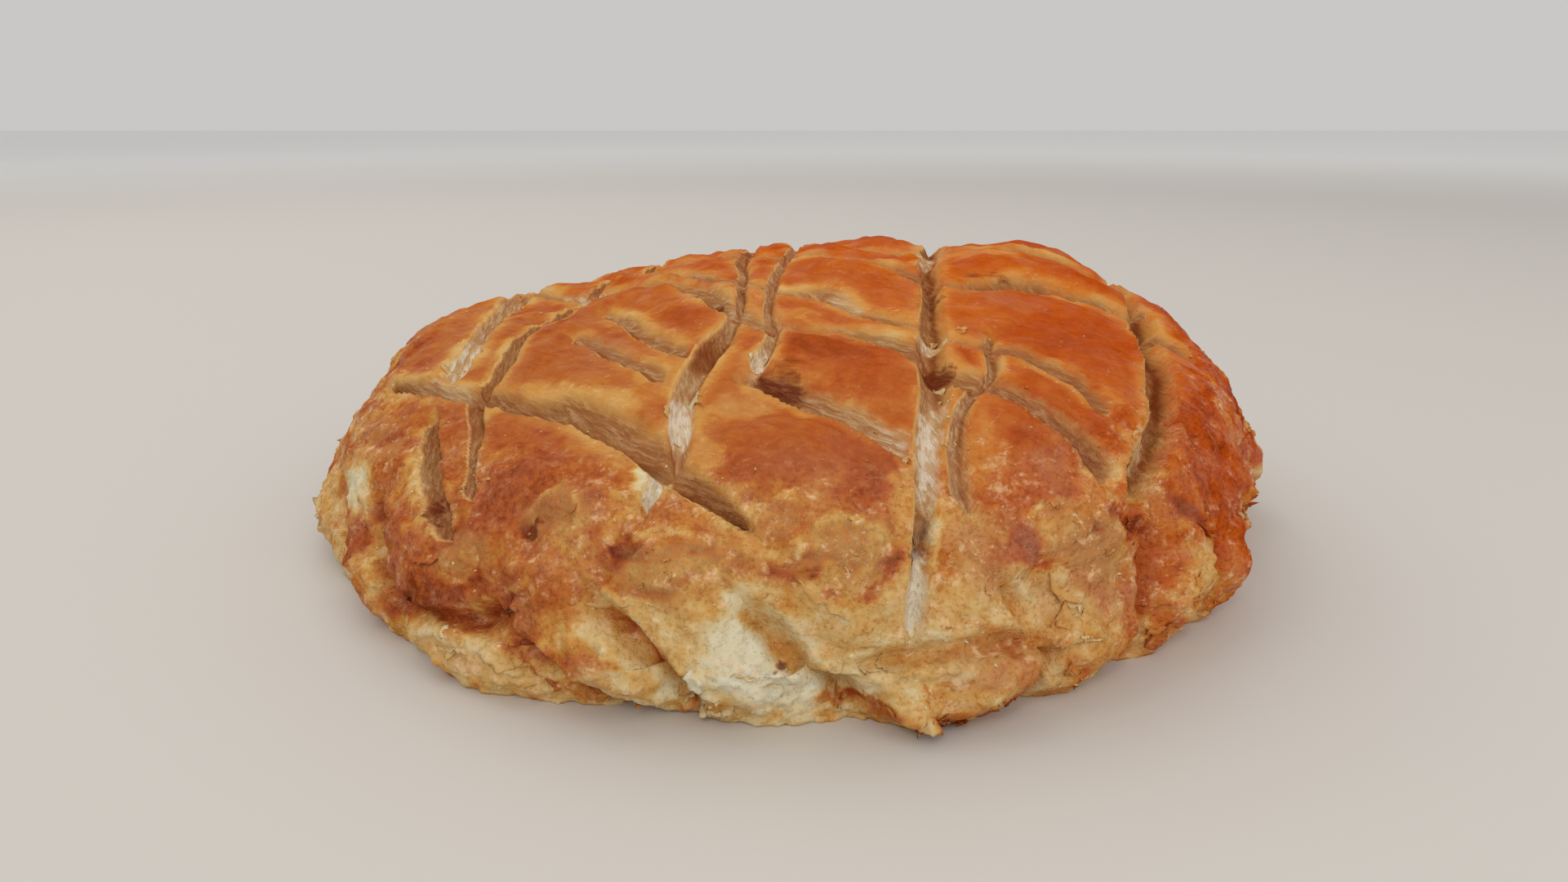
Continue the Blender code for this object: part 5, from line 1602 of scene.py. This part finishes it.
@dataclass(frozen=True)
class CutFloor:
    """The floors of the cuts. Tuples of numbers are changes, as in CrustFinish."""

    dough: tuple = (
        (0.0, linear(230, 222, 202)), (0.25, linear(202, 172, 130)), (0.5, linear(172, 124, 84)),
        (0.75, linear(144, 88, 52)), (1.0, linear(104, 50, 28)))
    halo: tuple = linear(204, 166, 96)
    strand_change: float = -0.2
    patch: Noise = Noise(130.0, 2.0, 0.6)
    patch_contrast: tuple = (0.4, 0.62)
    pulled_by_strand: tuple = (0.45, 0.8)
    pulled: float = -0.1
    torn_by_tone: tuple = (0.42, 0.1)
    torn_change: float = -0.14
    # Painted shade: a dark line near each cut's lowest part, shifted to one side
    shade_line_place: float = 0.28
    shade_line_shift: float = -0.72
    shade_line_reach: tuple = (0.5, 0.0)
    shade_line_by_tone: tuple = (0.0, 0.5, 0.1, 0.3)
    tone_change: tuple = (0.2, 0.5, -0.06, 0.08)
    soft_side: tuple = (-0.3, -0.95)
    halo_by_tone: tuple = (0.2, 0.5, 0.0, 0.6)
    crisp_side: tuple = (-0.3, 0.3)
    crisp_edge: tuple = (1.04, 0.78)
    crisp_grain: float = 0.2
    soft_edge: tuple = (1.12, 0.3)
    soft_grain: float = 0.9
    # How wide the painted highlight along a crisp edge is
    crest_highlight: tuple = (0.18, 0.0)

    def masks(self, wire: Wiring, grain: object) -> tuple[object, object]:
        """Return where a cut's floor shows and a painted highlight line along its crisp edge.

        One edge of each cut is crisp and the other runs softly out into the glaze. The place across
        goes from 1 at the crisp edge to -1 at the soft one.
        """
        span = wire.field("span")
        crisp = wire.between(wire.field("across"), *self.crisp_side)
        sharp = wire.between(wire.add(span, wire.centred(grain, self.crisp_grain)), *self.crisp_edge)
        soft = wire.between(wire.add(span, wire.centred(grain, self.soft_grain)), *self.soft_edge)
        inside = wire.add(wire.times(crisp, sharp), wire.times(wire.math("SUBTRACT", 1.0, crisp), soft))
        line = wire.math("ABSOLUTE", wire.math("SUBTRACT", span, 1.0))
        return inside, wire.times(crisp, wire.between(line, *self.crest_highlight))

    def colour(self, wire: Wiring, place: object, strand: object) -> bpy.types.NodeSocket:
        """Return the floor's colour: pale strands where it is torn, and a dark line of painted shade near
        its lowest part.
        """
        across, tone = wire.field("across"), wire.field("tone")
        patchy = wire.between(wire.noise(place, self.patch), *self.patch_contrast)
        pulled = wire.times(wire.between(strand, *self.pulled_by_strand), patchy, self.pulled)
        torn = wire.times(wire.between(tone, *self.torn_by_tone), wire.centred(strand, self.torn_change))
        # Painted shade: darker along the cut's lowest part, where its wall lies in shadow
        shift = wire.times(wire.field("family"), self.shade_line_shift)
        away = wire.math("ABSOLUTE", wire.add(across, shift, self.shade_line_place))
        deep = wire.times(wire.between(away, *self.shade_line_reach), wire.between(tone, *self.shade_line_by_tone))
        strands = wire.centred(strand, self.strand_change)
        lifted = wire.between(tone, *self.tone_change)
        floor = wire.ramp(wire.add(tone, strands, pulled, torn, deep, lifted), self.dough)
        soft = wire.times(wire.between(across, *self.soft_side), wire.between(tone, *self.halo_by_tone))
        return wire.mix(soft, floor, self.halo)


@dataclass(frozen=True)
class CrustFinish:
    """The baked crust: glazed and mottled on top, fibrous in the cuts, dry and layered at the rim.

    A tuple of two numbers says where a smooth change from 0 to 1 starts and ends. Where it has
    four, the last two are its values there. A name with by in it says what the change follows.
    """

    groups: Groups
    cuts: CutFloor = CutFloor()
    floor_share: float = 0.84
    bare_calm: float = -0.6
    layer_scale: tuple = (110.0, 110.0, 1.1)
    layer_lines: Noise = Noise(1.0, 3.0, 0.6)
    layer_change: float = 0.16
    tan: tuple = linear(190, 142, 88)
    tan_by_speck: tuple = (0.35, 0.65, 0.25, 0.85)
    # Painted sheen: the colour of a cool reflection on the glaze, and how much of it is mixed in
    painted_sheen_colour: tuple = linear(170, 112, 84)
    painted_sheen_share: float = 0.5
    # Painted highlight: the pale gold colour of the line along the cuts' crisp edges
    edge: tuple = linear(218, 174, 104)
    crest_highlight_by_grain: tuple = (0.38, 0.62, 0.3, 0.85)
    thin_by_bake: tuple = (0.8, 0.45, 0.25, 1.0)
    # Painted glints: the cream colour of small highlights strewn in crowds
    cream: tuple = linear(246, 220, 182)
    painted_glint: Noise = Noise(1000.0, 3.0, 0.6, (0.6, 1.0, 1.0), 30.0)
    painted_glint_contrast: tuple = (0.58, 0.74)
    painted_glint_crowd: Noise = Noise(150.0)
    painted_glint_crowd_contrast: tuple = (0.46, 0.58)
    painted_glint_by_low: tuple = (0.0, 1.0, 0.28, 0.62)
    # Pale puffs: partly paler blown-up skin, partly painted highlights of wet glaze
    puff_and_highlight_colour: tuple = linear(232, 190, 142)
    puff_and_highlight: Noise = Noise(330.0, 4.0, 0.68)
    puff_and_highlight_contrast: tuple = (0.54, 0.7)
    puff_and_highlight_share: float = 0.8
    scorched: tuple = linear(104, 34, 20)
    scorch_streak: Noise = Noise(700.0, 3.0, 0.65, (0.22, 1.0, 1.0), -24.0)
    scorch_spread: float = 1.7
    scorch_contrast: tuple = (0.16, 0.95)
    scorch_by_burn: tuple = (0.02, 0.5)
    scorch_share: float = 0.84
    dry_by_bare: tuple = (0.25, 0.7)
    roughness_by_dry: tuple = (0.0, 1.0, 0.5, 0.8)
    roughness_grain: float = 0.2
    specular: float = 0.0
    coat: float = 0.6
    coat_roughness: float = 0.17
    coat_by_dry: tuple = (0.8, 0.1)
    coat_patch: Noise = Noise(170.0)
    coat_contrast: tuple = (0.36, 0.6)
    coat_by_low: tuple = (0.0, 1.0, 0.34, 1.0)
    coat_by_bake: tuple = (0.85, 0.5, 0.5, 1.0)
    relief: float = 0.6 * MM
    relief_strength: float = 0.8
    strand_relief: float = 0.4
    layer_relief: float = 0.18
    grain_relief: float = 0.45
    blister_relief: float = 0.3
    speck_relief_by_low: tuple = (0.0, 1.0, 0.12, 0.34)
    pimple_by_speck: tuple = (0.52, 0.72)
    pimple_relief: float = 0.25

    def material(self) -> bpy.types.Material:
        """Return the crust's material."""
        material, wire, shader = new_material("baked crust")
        place, low, bare, rough = wire.place(), wire.field("low"), wire.field("bare"), wire.field("rough")
        mottle = self.groups.use(wire, self.groups.mottle, Place=place, Low=low)
        fibres = self.groups.use(wire, self.groups.fibres, Place=place, Family=wire.field("family"))
        grain, speck, strand = mottle["Grain"], mottle["Speck"], fibres["Strand"]
        strata = self.strata(wire, place)
        change = wire.times(mottle["Change"], wire.math("MULTIPLY_ADD", bare, self.bare_calm, 1.0))
        lines = wire.times(bare, wire.centred(strata, self.layer_change))
        bake = wire.add(wire.field("bake"), change, lines)
        inside, crest_highlight = self.cuts.masks(wire, grain)
        colour = self.groups.baked(wire, bake)
        colour = wire.mix(wire.times(rough, wire.between(speck, *self.tan_by_speck)), colour, self.tan)
        # Painted sheen: the cool reflection is mixed into the colour
        colour = wire.mix(wire.times(wire.field("painted_sheen"), self.painted_sheen_share), colour, self.painted_sheen_colour)
        floor = self.cuts.colour(wire, place, strand)
        colour = wire.mix(wire.times(inside, self.floor_share), colour, floor)
        # Painted highlight: a thin pale line along each cut's crisp edge
        colour = wire.mix(wire.times(crest_highlight, wire.between(grain, *self.crest_highlight_by_grain)), colour, self.edge)
        thin = wire.times(wire.between(bake, *self.thin_by_bake), wire.math("SUBTRACT", 1.0, inside))
        # Painted glints: small cream highlights mixed into the colour, mostly low down
        colour = wire.mix(wire.times(self.painted_glints(wire, place, low), thin), colour, self.cream)
        # Pale puffs, partly paler skin and partly painted highlights, mixed in low down
        light = wire.between(wire.noise(place, self.puff_and_highlight), *self.puff_and_highlight_contrast)
        colour = wire.mix(wire.times(light, low, thin, self.puff_and_highlight_share), colour, self.puff_and_highlight_colour)
        colour = wire.mix(self.scorch(wire, place), colour, self.scorched)
        dry = wire.math("MAXIMUM", inside, wire.between(bare, *self.dry_by_bare))
        dry = wire.math("MAXIMUM", dry, rough)
        uneven = wire.centred(grain, self.roughness_grain)
        roughness = wire.add(wire.between(dry, *self.roughness_by_dry), uneven)
        wet = wire.between(wire.noise(place, self.coat_patch), *self.coat_contrast)
        wet = wire.times(wire.between(dry, *self.coat_by_dry), wet, wire.between(low, *self.coat_by_low),
                         wire.between(bake, *self.coat_by_bake), self.coat)
        wire.fed(shader, Base_Color=colour, Roughness=roughness, Coat_Weight=wet,
                 Coat_Roughness=self.coat_roughness, Specular_IOR_Level=self.specular)
        parts = (wire.times(inside, strand, self.strand_relief), wire.times(bare, strata, self.layer_relief),
                 wire.times(grain, self.grain_relief), wire.times(rough, speck, self.blister_relief),
                 wire.times(speck, wire.between(low, *self.speck_relief_by_low)),
                 wire.times(low, wire.between(speck, *self.pimple_by_speck), self.pimple_relief))
        wire.bump(shader, wire.add(*parts), self.relief, self.relief_strength)
        return material

    def painted_glints(self, wire: Wiring, place: object, low: object) -> bpy.types.NodeSocket:
        """Return where small painted glints show: in crowds, and more of them low down."""
        painted_glints = wire.between(wire.noise(place, self.painted_glint), *self.painted_glint_contrast)
        crowds = wire.between(wire.noise(place, self.painted_glint_crowd), *self.painted_glint_crowd_contrast)
        return wire.times(painted_glints, crowds, wire.between(low, *self.painted_glint_by_low))

    def scorch(self, wire: Wiring, place: object) -> bpy.types.NodeSocket:
        """Return where the crust is scorched: streaks that crowd together in the hollows."""
        burn = wire.field("burn")
        streaks = wire.centred(wire.noise(place, self.scorch_streak), self.scorch_spread)
        return wire.times(wire.between(wire.add(burn, streaks), *self.scorch_contrast),
                          wire.between(burn, *self.scorch_by_burn), self.scorch_share)

    def strata(self, wire: Wiring, place: object) -> bpy.types.NodeSocket:
        """Return thin uneven lines that follow the dough's layers round the rim."""
        split = wire.node("ShaderNodeSeparateXYZ")
        wire.feed(split.inputs[0], place)
        joined = wire.node("ShaderNodeCombineXYZ")
        parts = (split.outputs[0], split.outputs[1], wire.field("layers"))
        for socket, part, scale in zip(joined.inputs, parts, self.layer_scale):
            wire.feed(socket, wire.times(part, scale))
        return wire.noise(joined.outputs[0], self.layer_lines)


@dataclass(frozen=True)
class LeafFinish:
    """Dry shreds of crust: the baked colours with a fine grain, paler where they are thin."""

    groups: Groups
    grain: Noise = Noise(700.0, 3.0, 0.6)
    bake_change: float = 0.4
    roughness: float = 0.72
    specular: float = 0.2
    relief: float = 0.3 * MM

    def material(self) -> bpy.types.Material:
        """Return the leaves' material."""
        material, wire, shader = new_material("torn leaves")
        grain = wire.noise(wire.place(), self.grain)
        bake = wire.add(wire.field("bake"), wire.centred(grain, self.bake_change))
        wire.fed(shader, Base_Color=self.groups.baked(wire, bake), Roughness=self.roughness,
                 Specular_IOR_Level=self.specular)
        wire.bump(shader, grain, self.relief, 1.0)
        return material


@dataclass(frozen=True)
class Lamp:
    """A square area lamp; a mirrored one shows in the glaze as a glint."""

    place: tuple
    size: float
    power: float
    mirrored: bool


@dataclass(frozen=True)
class Studio:
    """A plain pale floor, soft light and the photograph's viewpoint."""

    camera_place: tuple = (-1.22 * MM, -260.93 * MM, 97.53 * MM)
    camera_tilt: float = 72.0374
    lens: float = 24.444
    nearest: float = 0.01
    floor_size: float = 6.0
    floor_colour: tuple = linear(206, 200, 192)
    # Painted light: the floor's paler colour beyond the lamps' reach
    far_floor_painted_light: tuple = linear(244, 243, 241)
    floor_roughness: float = 0.6
    lit_part: tuple = (0.9, 1.9)
    sky: tuple = (1.0, 0.99, 0.98, 1.0)
    sky_strength: float = 0.58
    aim: tuple = (0.0, 0.0, 0.03)
    lamps: tuple = (Lamp((-0.5, 0.5, 1.1), 1.2, 5.9, False), Lamp((0.3, -0.8, 0.7), 1.2, 3.8, True),
                    Lamp((-0.2, -0.9, 0.8), 0.16, 1.2, True))

    def floor(self) -> bpy.types.Object:
        """Return the floor, painted paler beyond the lamps' reach as painted light, so that it ends softly
        at the sky.
        """
        corners = np.array(((-1, -1, 0), (1, -1, 0), (1, 1, 0), (-1, 1, 0))) * 0.5 * self.floor_size
        floor = new_piece("floor", corners, [[0, 1, 2, 3]], {})
        material, wire, shader = new_material("pale floor")
        away = wire.node("ShaderNodeVectorMath", operation="LENGTH")
        wire.feed(away.inputs[0], wire.place())
        far = wire.between(away.outputs["Value"], *self.lit_part)
        colour = wire.mix(far, self.floor_colour, self.far_floor_painted_light)
        wire.fed(shader, Base_Color=colour, Roughness=self.floor_roughness)
        floor.data.materials.append(material)
        return floor

    def light(self) -> None:
        """Light the scene from a soft sky and large lamps aimed at the object."""
        scene = bpy.context.scene
        world = bpy.data.worlds.new("soft sky")
        world.use_nodes = True
        background = world.node_tree.nodes["Background"]
        background.inputs["Color"].default_value = self.sky
        background.inputs["Strength"].default_value = self.sky_strength
        scene.world = world
        for number, lamp in enumerate(self.lamps):
            data = bpy.data.lights.new(f"lamp_{number}", "AREA")
            data.size, data.energy = lamp.size, lamp.power
            light = bpy.data.objects.new(f"lamp_{number}", data)
            light.location = lamp.place
            light.visible_glossy = lamp.mirrored
            way = Vector(self.aim) - Vector(lamp.place)
            light.rotation_euler = way.to_track_quat("-Z", "Y").to_euler()
            scene.collection.objects.link(light)

    def camera(self) -> None:
        """Set the camera where the photograph was taken from."""
        scene = bpy.context.scene
        data = bpy.data.cameras.new("camera")
        data.lens, data.clip_start = self.lens, self.nearest
        camera = bpy.data.objects.new("camera", data)
        camera.location = self.camera_place
        camera.rotation_euler = (math.radians(self.camera_tilt), 0.0, 0.0)
        scene.collection.objects.link(camera)
        scene.camera = camera
        scene.view_settings.view_transform = "Standard"


def report(piece: bpy.types.Object) -> None:
    """Log a piece's name and size."""
    LOG.info("%s: %d points, %d faces", piece.name, len(piece.data.vertices), len(piece.data.polygons))


def main() -> None:
    """Build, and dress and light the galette."""
    logging.basicConfig(level=logging.INFO, format="%(name)s: %(message)s")
    box = Box(*(np.array(corner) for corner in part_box(NODE)))
    groups = Groups(BakedColours().group(), TornFibres().group(), Mottle().group())
    crust = Crust(Form(Dome()), Finish(), FineRelief())
    skin = crust.build(box)
    skin.data.materials.append(CrustFinish(groups).material())
    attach(skin, BODY)
    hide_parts(NODE)
    report(skin)
    shreds = LeafFinish(groups).material()
    for maker in (Leaves(crust), Specks(crust), TornStrip()):
        piece = maker.build(box)
        piece.data.materials.append(shreds)
        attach(piece, BODY)
        report(piece)
    studio = Studio()
    studio.floor()
    studio.light()
    studio.camera()


if __name__ == "__main__":
    main()
